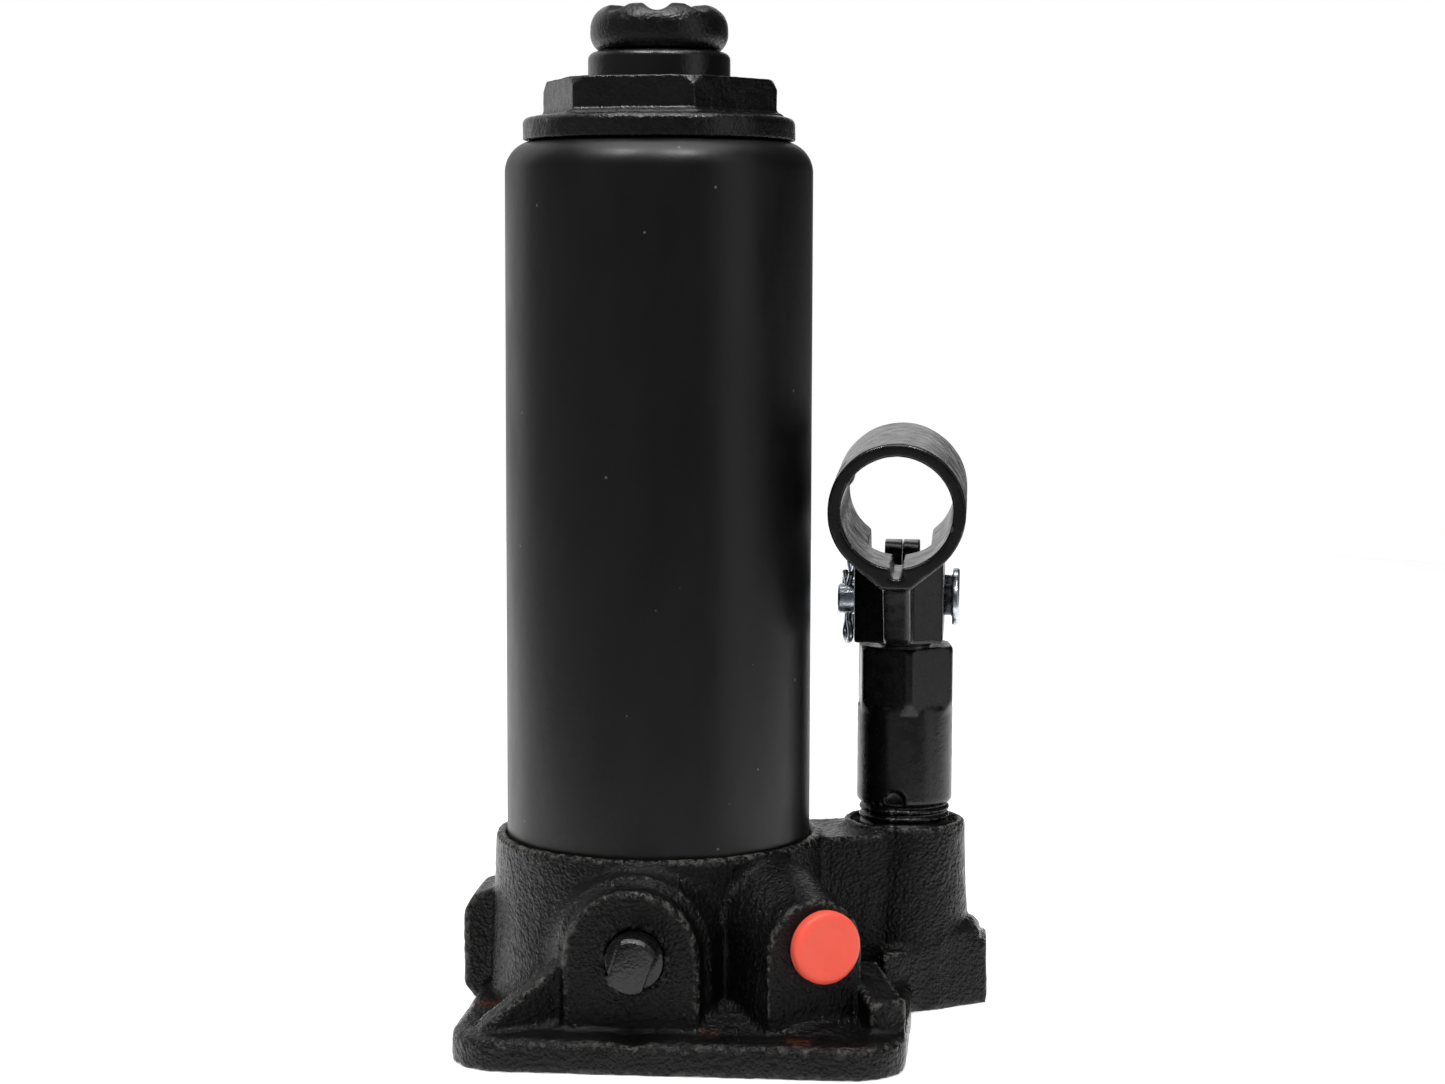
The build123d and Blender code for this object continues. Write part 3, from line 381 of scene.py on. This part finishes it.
def tank_paint():
    """Smooth satin black paint on the drawn tube, a little orange-peeled, with tiny dust specks."""
    paint = Surface("tank_paint", (0.0018, 0.0018, 0.0020), 0.36, Specular_IOR_Level=0.40)
    paint.bump(paint.noise(1.6 * MM, 2.0), 0.05 * MM, 0.5)
    paint.bump(paint.noise(0.45 * MM, 2.0), 0.02 * MM, 0.5)
    streaks = paint.noise(9 * MM, 4.0, 0.6, (1, 1, 0.35))
    paint.drive("Roughness", paint.between(streaks, 0.3, 0.7, 0.32, 0.44))
    specks = paint.between(paint.cells(7 * MM), 0.045, 0.025)
    paint.mix_color(paint.math("MULTIPLY", specks, 0.8), (0.14, 0.14, 0.14))
    scuffs = paint.between(paint.noise(1.1 * MM, 5.0, 0.7, (1, 1, 0.05)), 0.68, 0.8, 0.0, 0.3)
    paint.mix_color(scuffs, (0.05, 0.05, 0.052))
    return paint.material


def gloss_paint(name, grain_depth, edge_wear_and_highlight, grit_depth=0.0):
    """Semi-gloss black paint on steel, with soft waves, cast grit where asked and light edge lines that
    are partly worn edges and partly painted highlights.
    """
    paint = Surface(name, (0.0030, 0.0030, 0.0032), 0.27, Specular_IOR_Level=0.42)
    paint.bump(paint.noise(3.0 * MM, 2.0), grain_depth, 0.6)
    paint.bump(paint.noise(0.6 * MM, 3.0), grain_depth * 0.3, 0.6)
    if grit_depth > 0.0:
        paint.bump(paint.noise(1.0 * MM, 4.0, 0.65), grit_depth, 0.9)
        paint.bump(paint.cells(0.6 * MM), grit_depth * 0.4, 0.8)
    paint.drive("Roughness", paint.between(paint.noise(2.5 * MM, 4.0), 0.3, 0.7, 0.18, 0.34))
    grit = paint.noise(0.8 * MM, 4.0, 0.7)
    # Light lines on the outside edges: partly worn paint, partly painted highlights along the edges.
    worn_and_highlit_edges = paint.math("MULTIPLY", paint.between(paint.pointed(), 0.54, 0.64),
                      paint.between(grit, 0.42, 0.6))
    paint.mix_color(paint.math("MULTIPLY", worn_and_highlit_edges, edge_wear_and_highlight), (0.24, 0.23, 0.21))
    return paint.material


def bare_steel(name, color, roughness, grain):
    """Machined steel with fine turning marks across Z and a few stains."""
    steel = Surface(name, color, roughness, metallic=1.0)
    marks = steel.noise(0.25 * MM, 2.0, 0.5, grain)
    steel.bump(marks, 0.01 * MM, 0.5)
    smears = steel.noise(3 * MM, 4.0)
    steel.drive("Roughness", steel.between(smears, 0.3, 0.7, roughness * 0.75, roughness * 1.35))
    stain = steel.between(steel.noise(6 * MM, 5.0, 0.65), 0.55, 0.75, 0.0, 0.4)
    steel.mix_color(stain, tuple(value * 0.55 for value in color))
    return steel.material


def ram_steel(paint_line):
    """Hard chrome on the ram, with black paint on the end that stood out when the jack was sprayed."""
    steel = Surface("ram_steel", (0.62, 0.62, 0.63), 0.14, metallic=1.0)
    edge = steel.math("ADD", steel.height(), steel.math("MULTIPLY", steel.noise(2 * MM), 0.6 * MM))
    painted = steel.between(edge, paint_line, paint_line + 0.25 * MM)
    steel.mix_color(painted, (0.003, 0.003, 0.0033))
    steel.drive("Metallic", steel.between(painted, 0.0, 1.0, 1.0, 0.0))
    steel.drive("Roughness", steel.between(painted, 0.0, 1.0, 0.13, 0.26))
    lumps = steel.math("MULTIPLY", painted, steel.noise(1.1 * MM, 4.0, 0.6))
    steel.bump(lumps, 0.14 * MM, 0.8)
    steel.bump(steel.noise(0.2 * MM, 2.0, 0.5, (1, 1, 12)), 0.006 * MM, 0.4)
    steel.bump(steel.noise(1.5 * MM, 3.0), 0.03 * MM, 0.3)
    return steel.material


def zinc_plate():
    """Bright zinc plating: bluish, a little cloudy, with small tumbling dents."""
    zinc = Surface("zinc_plate", (0.56, 0.60, 0.66), 0.24, metallic=1.0)
    zinc.bump(zinc.noise(0.8 * MM, 4.0, 0.6), 0.03 * MM, 0.4)
    zinc.drive("Roughness", zinc.between(zinc.noise(1.2 * MM, 4.0), 0.3, 0.7, 0.16, 0.38))
    zinc.mix_color(zinc.between(zinc.noise(2.5 * MM, 5.0), 0.5, 0.72, 0.0, 0.6), (0.40, 0.47, 0.58))
    return zinc.material


def cap_plastic():
    """Orange-red moulded plastic, slightly translucent and matt, with a faint painted glow that brightens
    it though it is no lamp.
    """
    # The emission makes the cap glow faintly: painted light that brightens it beyond what the lamps give.
    plastic = Surface("cap_plastic", (0.90, 0.108, 0.068), 0.42, Subsurface_Weight=0.12,
                      Subsurface_Radius=(0.9 * MM, 0.25 * MM, 0.12 * MM), Subsurface_Scale=1.0,
                      Specular_IOR_Level=0.3, Emission_Color=(1.0, 0.14, 0.08, 1.0),
                      Emission_Strength=0.04)
    plastic.bump(plastic.noise(0.7 * MM, 3.0), 0.02 * MM, 0.5)
    plastic.drive("Roughness", plastic.between(plastic.noise(1.5 * MM, 4.0), 0.3, 0.7, 0.34, 0.52))
    handled = plastic.between(plastic.noise(3 * MM, 4.0), 0.45, 0.75, 0.0, 0.35)
    plastic.mix_color(handled, (0.82, 0.086, 0.052))
    return plastic.material


def moulded(name, color, bloom):
    """Moulded rubber or plastic with a dusty bloom."""
    skin = Surface(name, color, 0.6)
    skin.bump(skin.noise(0.6 * MM, 3.0), 0.03 * MM, 0.5)
    skin.drive("Roughness", skin.between(skin.noise(2 * MM, 4.0), 0.3, 0.7, 0.5, 0.75))
    skin.mix_color(skin.between(skin.noise(4 * MM, 4.0), 0.5, 0.8, 0.0, 0.5), bloom)
    return skin.material


def soft_metal(name, color, roughness):
    """Copper or bronze, mottled by handling."""
    metal = Surface(name, color, roughness, metallic=1.0)
    metal.bump(metal.noise(0.5 * MM, 3.0), 0.02 * MM, 0.5)
    metal.mix_color(metal.between(metal.noise(2 * MM, 5.0), 0.45, 0.7, 0.0, 0.6),
                    tuple(value * 0.6 for value in color))
    return metal.material


MATERIALS = {
    "casting_paint": casting_paint(),
    "tank_paint": tank_paint(),
    "nut_paint": gloss_paint("nut_paint", 0.12 * MM, 0.8, 0.16 * MM),
    "pump_paint": gloss_paint("pump_paint", 0.06 * MM, 0.8, 0.04 * MM),
    "socket_paint": gloss_paint("socket_paint", 0.03 * MM, 0.8),
    "saddle_paint": gloss_paint("saddle_paint", 0.10 * MM, 0.6, 0.18 * MM),
    "ram_steel": ram_steel(span("top_nut")[1].z + 0.2 * MM),
    "steel": bare_steel("steel", (0.47, 0.47, 0.48), 0.3, (1, 1, 8)),
    "ball_steel": bare_steel("ball_steel", (0.66, 0.66, 0.68), 0.1, (1, 1, 1)),
    "spring_steel": bare_steel("spring_steel", (0.30, 0.30, 0.31), 0.3, (1, 1, 1)),
    "zinc": zinc_plate(),
    "seal_rubber": moulded("seal_rubber", (0.022, 0.022, 0.022), (0.055, 0.053, 0.050)),
    "plug_rubber": moulded("plug_rubber", (0.016, 0.016, 0.016), (0.050, 0.048, 0.045)),
    "backup_plastic": moulded("backup_plastic", (0.80, 0.78, 0.70), (0.66, 0.62, 0.52)),
    "copper": soft_metal("copper", (0.72, 0.38, 0.24), 0.3),
    "cap_plastic": cap_plastic(),
    "mesh": soft_metal("mesh", (0.70, 0.50, 0.25), 0.4),
}


def dress_cad_nodes():
    """Every CAD node that stays in view gets its slot's procedural material."""
    slots = {row["node"]: row["material_slot"] for row in frame["record"]["subparts"]}
    for node, made in frame["nodes"].items():
        made.data.materials.clear()
        made.data.materials.append(MATERIALS[slots[node]])


# ---- pieces --------------------------------------------------------------------------------------
# A size times MM is in metres. The other sizes are millimetres, for lathe profiles. Angles are degrees.
TANK_WALL = 2.0
TANK_SHOULDER_R = 6.0
TANK_MOUTH_R = 20.6

RAM_TOP_ROUND_R = 1.5
RAM_THREAD_R = 9.1
RAM_THREAD_LENGTH = 20.0
RAM_BORE_R = 10.2

# The dent's angle is as seen from the front, from 0 on the right to 90 at the top. Its way back is
# from the socket's front end.
SOCKET_R = 13 * MM
SOCKET_DENT_ANGLE = 157.0
SOCKET_DENT_BACK = 11 * MM
SOCKET_DENT_INSET = 1.2 * MM
SOCKET_DENT_REACH = 3.4 * MM
SOCKET_DENT_DEPTH = 1.6 * MM

PIN_SHANK_R = 3.0
PIN_END_ROUND_R = 0.5
PIN_HEAD = 1.35
PIN_HEAD_FOOT_R = 0.3
PIN_HEAD_DOME_R = 0.55

COTTER_INSET = 2.0 * MM
COTTER_TURN = 20.0
COTTER_WIRE_R = 0.6 * MM
# Each point of the split pin's eye: how far out from its middle and how far up from its lowest point.
COTTER_EYE = ((1.9 * MM, 1.2 * MM), (2.1 * MM, 3.0 * MM), (0.5 * MM, 4.6 * MM))
COTTER_LEG_OUT = 0.42 * MM
COTTER_BEND_OUT, COTTER_BEND_UP = 0.7 * MM, 0.6 * MM
COTTER_TIP_OUT = 2.1 * MM

# The cap leans to the right of the front by its turn. Its seat is the middle of its head's underside.
CAP_TURN = 31.0
CAP_SEAT = Vector((34.0, -35.1, 21.6)) * MM
CAP_THICK = 2.6
CAP_STEM_R = 4.35
CAP_STEM_LENGTH = 3.4
CAP_FOOT_R = 0.3
CAP_FOOT_INSET, CAP_FOOT_RISE = 0.25, 0.02
CAP_RIM_R = 1.1
CAP_RIM_LAND = 1.7
CAP_DISH_INSET = 2.2
CAP_DISH_FLAT_R = 3.2
CAP_DISH_DEPTHS = (0.12, 0.16, 0.18)

# The filler plug's barbed tip and the start of its neck: radius and height.
PLUG_TIP = [(0, 0), (3.9, 0), (4.3, 0.5), (4.3, 1.4), (3.6, 1.8)]
PLUG_NECK_R = 3.6
PLUG_HEAD = 1.7
PLUG_HEAD_UNDERCUT = 0.2
PLUG_HEAD_ROUND_R = 1.1
PLUG_HEAD_DIP = 0.05


def make_casting():
    """The base casting, its corners filled and its skin roughened like a sand casting."""
    piece = softened("base_casting", "casting", 0.68 * MM, 4)
    roughen(piece, (9 * MM, 0.16 * MM, 3.0), (2.6 * MM, 0.10 * MM, 11.0), (1.2 * MM, 0.09 * MM, 5.0))
    finish_piece(piece, "base", ["base_casting"], MATERIALS["casting_paint"])


def make_tank():
    """The tank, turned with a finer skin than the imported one."""
    radius = TANK_R / MM
    low, high = TANK_LOW.z / MM, TANK_HIGH.z / MM
    shoulder = (radius - TANK_SHOULDER_R, high - TANK_SHOULDER_R)
    bands = 12
    outside = [(radius, low + step * (shoulder[1] - low) / bands) for step in range(bands)]
    outside += arc(shoulder, TANK_SHOULDER_R, 0, 90, 16)
    inside = arc(shoulder, TANK_SHOULDER_R - TANK_WALL, 90, 0, 8)
    profile = outside + [(TANK_MOUTH_R, high), (TANK_MOUTH_R, high - TANK_WALL)]
    profile += inside + [(radius - TANK_WALL, low)]
    piece = lathe("tank", closed_ring(profile), 256)
    finish_piece(piece, "base", ["reservoir_tube"], MATERIALS["tank_paint"])
    sharp_edges(piece, 50)


def sharp_edges(piece, degrees):
    """Keeps edges sharper than an angle from being shaded smooth."""
    sheet = bmesh.new()
    sheet.from_mesh(piece.data)
    for edge in sheet.edges:
        if len(edge.link_faces) == 2 and edge.calc_face_angle() > math.radians(degrees):
            edge.smooth = False
    sheet.to_mesh(piece.data)
    sheet.free()


def make_nut():
    """The top nut, its hexagon's edges a little rounded and its faces uneven."""
    piece = softened("top_nut", "clamp_nut", 0.36 * MM, 2)
    roughen(piece, (5 * MM, 0.10 * MM, 2.0), (1.5 * MM, 0.05 * MM, 7.0))
    finish_piece(piece, "base", ["top_nut"], MATERIALS["nut_paint"])


def make_screw():
    """The extension screw with its toothed saddle."""
    piece = softened("extension_screw", "saddle_screw", 0.34 * MM, 3)
    finish_piece(piece, "screw", ["extension_screw"], MATERIALS["saddle_paint"])


def make_ram():
    """The ram, turned with a fine skin and a rounded top edge."""
    corner, far_corner = span("ram")
    low, high = corner.z / MM, far_corner.z / MM
    radius = (far_corner.x - corner.x) / 2 / MM
    thread_end = high - RAM_THREAD_LENGTH
    profile = [(RAM_BORE_R, low), (radius, low), (radius, (low + high) / 2)]
    profile += arc((radius - RAM_TOP_ROUND_R, high - RAM_TOP_ROUND_R), RAM_TOP_ROUND_R, 0, 90, 8)
    profile += [(RAM_THREAD_R, high), (RAM_THREAD_R, thread_end), (RAM_BORE_R, thread_end)]
    piece = lathe("lifting_ram", closed_ring(profile), 192)
    finish_piece(piece, "ram", ["ram"], MATERIALS["ram_steel"])
    sharp_edges(piece, 40)


def make_pump():
    """The pump body, its edges rounded and its skin smooth."""
    piece = softened("pump_cylinder", "pump_body", 0.3 * MM, 5)
    finish_piece(piece, "base", ["pump_cylinder"], MATERIALS["pump_paint"])
    sharp_edges(piece, 30)


def press(piece, point, direction, reach, depth):
    """Presses a round dent into a mesh, deepest at the point and gone at its reach."""
    for vertex in piece.data.vertices:
        away = (vertex.co - point).length / reach
        if away < 1.0:
            vertex.co += direction * depth * (1.0 - away * away) ** 2
    piece.data.update()


def make_socket():
    """The rolled socket with its ears, its edges rounded and a dent pressed into its upper left."""
    piece = softened("handle_socket", "handle_socket_skin", 0.36 * MM, 8)
    roughen(piece, (6 * MM, 0.08 * MM, 8.0))
    low, high = span("handle_socket")
    slope = math.radians(SOCKET_DENT_ANGLE)
    outward = Vector((math.cos(slope), 0, math.sin(slope)))
    centre = Vector(((low.x + high.x) / 2, low.y + SOCKET_DENT_BACK, high.z - SOCKET_R))
    place = centre + outward * (SOCKET_R - SOCKET_DENT_INSET)
    press(piece, place, -outward, SOCKET_DENT_REACH, SOCKET_DENT_DEPTH)
    finish_piece(piece, "socket", ["handle_socket"], MATERIALS["socket_paint"])


def make_links():
    """The two link plates and the pump's plunger."""
    for side in ("left", "right"):
        piece = bevelled(f"link_plate_{side}", f"link_{side}", 0.35 * MM, 3)
        finish_piece(piece, "links", [f"link_plate_{side}"], MATERIALS["socket_paint"])
        sharp_edges(piece, 30)
    piece = bevelled("pump_plunger", "plunger_rod", 0.3 * MM, 2)
    finish_piece(piece, "plunger", ["pump_plunger"], MATERIALS["steel"])
    sharp_edges(piece, 30)


def make_pin(node, body):
    """A zinc-plated lever pin: a shank, a domed flat head on the right and a rounded left end."""
    low, high = span(node)
    centre = middle(node)
    length = (high.x - low.x) / MM
    head_r = (high.z - low.z) / 2 / MM
    under_head = length - PIN_HEAD
    profile = [(0, 0)] + arc((PIN_SHANK_R - PIN_END_ROUND_R, PIN_END_ROUND_R), PIN_END_ROUND_R, -90, 0, 4)
    profile += [(PIN_SHANK_R, under_head - PIN_HEAD_FOOT_R), (PIN_SHANK_R + PIN_HEAD_FOOT_R, under_head)]
    profile += arc((head_r - PIN_HEAD_FOOT_R, under_head + PIN_HEAD_FOOT_R), PIN_HEAD_FOOT_R, -90, 0, 4)
    profile += arc((head_r - PIN_HEAD_DOME_R, length - PIN_HEAD_DOME_R), PIN_HEAD_DOME_R, 0, 84, 5)
    profile.append((0, length))
    piece = lathe(node + "_turned", profile, 64, (low.x, centre.y, centre.z), (1, 0, 0))
    finish_piece(piece, body, [node], MATERIALS["zinc"])
    sharp_edges(piece, 50)


def make_cotter(node, body, pin_node):
    """A split pin of bent wire: its eye below the lever pin and its two legs bent apart above it."""
    low, high = (corner.z for corner in span(node))
    centre = middle(pin_node)
    x = span(pin_node)[0].x + COTTER_INSET
    turn = math.radians(COTTER_TURN)
    shank = PIN_SHANK_R * MM
    eye = ((0.0, low + COTTER_WIRE_R),) + tuple((out, low + up) for out, up in COTTER_EYE)
    through = tuple((COTTER_LEG_OUT, centre.z + step * shank) for step in (-1, 0, 1))
    spread = ((COTTER_BEND_OUT, centre.z + shank + COTTER_BEND_UP),
              (COTTER_TIP_OUT, high - COTTER_WIRE_R * 0.6))
    legs = []
    for side in (-1, 1):
        path = [(x - side * out * math.sin(turn), centre.y + side * out * math.cos(turn), z)
                for out, z in eye + through + spread]
        legs.append(wire(f"{node}_leg", path, COTTER_WIRE_R))
    piece = joined(node + "_wire", legs)
    finish_piece(piece, body, [node], MATERIALS["zinc"])


def make_cap():
    """The red plug: a flat cap with a rounded rim and a shallow plain dish."""
    turn = math.radians(CAP_TURN)
    outward = Vector((math.sin(turn), -math.cos(turn), 0))
    low, high = span("relief_valve_cap")
    radius = (high.z - low.z) / 2 / MM
    edge_depth, flat_depth, middle_depth = CAP_DISH_DEPTHS
    profile = [(0, -CAP_STEM_LENGTH), (CAP_STEM_R, -CAP_STEM_LENGTH), (CAP_STEM_R, 0)]
    profile.append((radius - CAP_FOOT_INSET, CAP_FOOT_RISE))
    profile += arc((radius - CAP_FOOT_R, CAP_FOOT_R), CAP_FOOT_R, -70, 0, 3)
    profile += arc((radius - CAP_RIM_R, CAP_THICK - CAP_RIM_R), CAP_RIM_R, 0, 90, 8)
    profile += [(radius - CAP_RIM_LAND, CAP_THICK), (radius - CAP_DISH_INSET, CAP_THICK - edge_depth),
                (CAP_DISH_FLAT_R, CAP_THICK - flat_depth), (0, CAP_THICK - middle_depth)]
    piece = lathe("valve_cap", profile, 128, CAP_SEAT, outward)
    finish_piece(piece, "base", ["relief_valve_cap"], MATERIALS["cap_plastic"])
    sharp_edges(piece, 60)


def make_release_valve():
    """The release valve's screw with its tang."""
    piece = bevelled("release_valve", "release_screw", 0.4 * MM, 3)
    finish_piece(piece, "valve", ["release_valve"], MATERIALS["nut_paint"])
    sharp_edges(piece, 30)


def make_filler_plug():
    """The rubber filler plug, a soft button on the back of the tank."""
    low, high = span("filler_plug")
    length = (high.y - low.y) / MM
    head_r = (high.z - low.z) / 2 / MM
    head_foot = length - PLUG_HEAD
    profile = PLUG_TIP + [(PLUG_NECK_R, head_foot), (head_r - PLUG_HEAD_UNDERCUT, head_foot)]
    profile += arc((head_r - PLUG_HEAD_ROUND_R, length - PLUG_HEAD_ROUND_R), PLUG_HEAD_ROUND_R, -20, 90, 8)
    profile.append((0, length - PLUG_HEAD_DIP))
    piece = lathe("filler_button", profile, 96, (0, low.y, middle("filler_plug").z), (0, 1, 0))
    finish_piece(piece, "base", ["filler_plug"], MATERIALS["plug_rubber"])
    sharp_edges(piece, 60)


# ---- floor, light and camera ---------------------------------------------------------------------
FLOOR_R = 0.55
FLOOR_MIDDLE_Y = 0.42
FLOOR_DROP = 0.05 * MM
LAMP_AIM = Vector((0, 0, 0.1))

CAMERA_PLACE = Vector((60.85, -554.5, 145.7)) * MM
CAMERA_TURN = 5.0
CAMERA_TILT = 5.5
CAMERA_ROLL = 0.17
LENS_LENGTH = 72.25
SENSOR_WIDTH = 36.0


def floor_paper():
    """A white paper disc, lit from above and glowing a little, as a sheet on a light table does."""
    paper = Surface("floor_paper", (0.88, 0.88, 0.88), 0.85)
    paper.bump(paper.noise(1.5 * MM, 3.0), 0.02 * MM, 0.3)
    paper.set("Emission Color", (1.0, 1.0, 1.0, 1.0))
    paper.set("Emission Strength", 0.5)
    return paper.material


def make_floor():
    """A round sheet of white paper, under the jack and behind it."""
    floor = lathe("floor", [(FLOOR_R / MM, 0), (FLOOR_R / MM / 2, 0), (0, 0)], 96)
    floor.location = (0, FLOOR_MIDDLE_Y, -FLOOR_DROP)
    floor.data.materials.append(floor_paper())


def add_light(name, angle, distance, height, size, radiance):
    """A rectangular softbox that faces the jack. angle is 0 at the front and grows to the right."""
    slope = math.radians(angle)
    lamp = bpy.data.lights.new(name, "AREA")
    lamp.shape = "RECTANGLE"
    lamp.size, lamp.size_y = size
    lamp.energy = radiance * math.pi * size[0] * size[1]
    made = bpy.data.objects.new(name, lamp)
    made.location = (distance * math.sin(slope), -distance * math.cos(slope), height)
    made.rotation_mode = "QUATERNION"
    made.rotation_quaternion = (LAMP_AIM - made.location).to_track_quat("-Z", "Y")
    made.visible_camera = False
    bpy.context.scene.collection.objects.link(made)


def make_room():
    """A dim room, lighter on the left and near the ground. The camera itself sees plain white."""
    world = bpy.data.worlds.new("room")
    world.use_nodes = True
    nodes, links = world.node_tree.nodes, world.node_tree.links
    toward = nodes.new("ShaderNodeSeparateXYZ")
    links.new(nodes.new("ShaderNodeTexCoord").outputs["Generated"], toward.inputs[0])
    side_glow, ground_glow = nodes.new("ShaderNodeMapRange"), nodes.new("ShaderNodeMapRange")
    for socket, from_side, from_ground in (("From Min", -1.0, -0.3), ("From Max", 1.0, 0.05),
                                           ("To Min", 0.20, 0.30), ("To Max", 0.01, 0.0)):
        side_glow.inputs[socket].default_value = from_side
        ground_glow.inputs[socket].default_value = from_ground
    links.new(toward.outputs["X"], side_glow.inputs["Value"])
    links.new(toward.outputs["Z"], ground_glow.inputs["Value"])
    glow = nodes.new("ShaderNodeMath")
    links.new(side_glow.outputs["Result"], glow.inputs[0])
    links.new(ground_glow.outputs["Result"], glow.inputs[1])
    room = nodes["Background"]
    links.new(glow.outputs[0], room.inputs["Strength"])
    backdrop = nodes.new("ShaderNodeBackground")
    backdrop.inputs["Strength"].default_value = 1.0
    seen = nodes.new("ShaderNodeLightPath")
    for shader in (room, backdrop):
        shader.inputs["Color"].default_value = (1, 1, 1, 1)
    either = nodes.new("ShaderNodeMixShader")
    links.new(seen.outputs["Is Camera Ray"], either.inputs[0])
    links.new(room.outputs[0], either.inputs[1])
    links.new(backdrop.outputs[0], either.inputs[2])
    links.new(either.outputs[0], nodes["World Output"].inputs["Surface"])
    bpy.context.scene.world = world
    bpy.context.scene.view_settings.view_transform = "Standard"


def make_lights():
    """A broad softbox overhead, a tall one on the right, panels left and behind, two small lamps."""
    add_light("top_box", 0, 0.12, 0.95, (0.95, 0.85), 2.6)
    add_light("right_lamp", 30, 0.5, 0.95, (0.07, 0.07), 230.0)
    add_light("left_lamp", -35, 0.45, 0.9, (0.07, 0.07), 160.0)
    add_light("right_box", 66, 0.9, 0.35, (0.42, 1.0), 0.75)
    add_light("left_panel", -135, 0.9, 0.4, (0.9, 1.1), 0.6)
    add_light("back_panel", 184, 1.1, 0.5, (0.6, 1.0), 0.7)


def make_camera():
    """A long lens a little above the jack's middle, from the front and slightly right of it."""
    lens = bpy.data.cameras.new("camera")
    lens.lens = LENS_LENGTH
    lens.sensor_width = SENSOR_WIDTH
    lens.clip_start = 0.01
    camera = bpy.data.objects.new("camera", lens)
    turn, tilt, roll = (math.radians(angle) for angle in (CAMERA_TURN, CAMERA_TILT, CAMERA_ROLL))
    camera.location = CAMERA_PLACE
    ahead = Vector((-math.sin(turn) * math.cos(tilt), math.cos(turn) * math.cos(tilt), -math.sin(tilt)))
    camera.rotation_mode = "QUATERNION"
    camera.rotation_quaternion = ahead.to_track_quat("-Z", "Y") @ Quaternion((0, 0, 1), roll)
    bpy.context.scene.collection.objects.link(camera)
    bpy.context.scene.camera = camera


make_camera()
make_room()
make_lights()
make_floor()
dress_cad_nodes()
make_casting()
make_tank()
make_nut()
make_screw()
make_ram()
make_pump()
make_socket()
make_links()
for pin, owner in (("plunger", "socket"), ("link_top", "links"), ("link_base", "base")):
    make_pin(pin + "_pin", owner)
    make_cotter(pin + "_cotter", owner, pin + "_pin")
make_cap()
make_release_valve()
make_filler_plug()
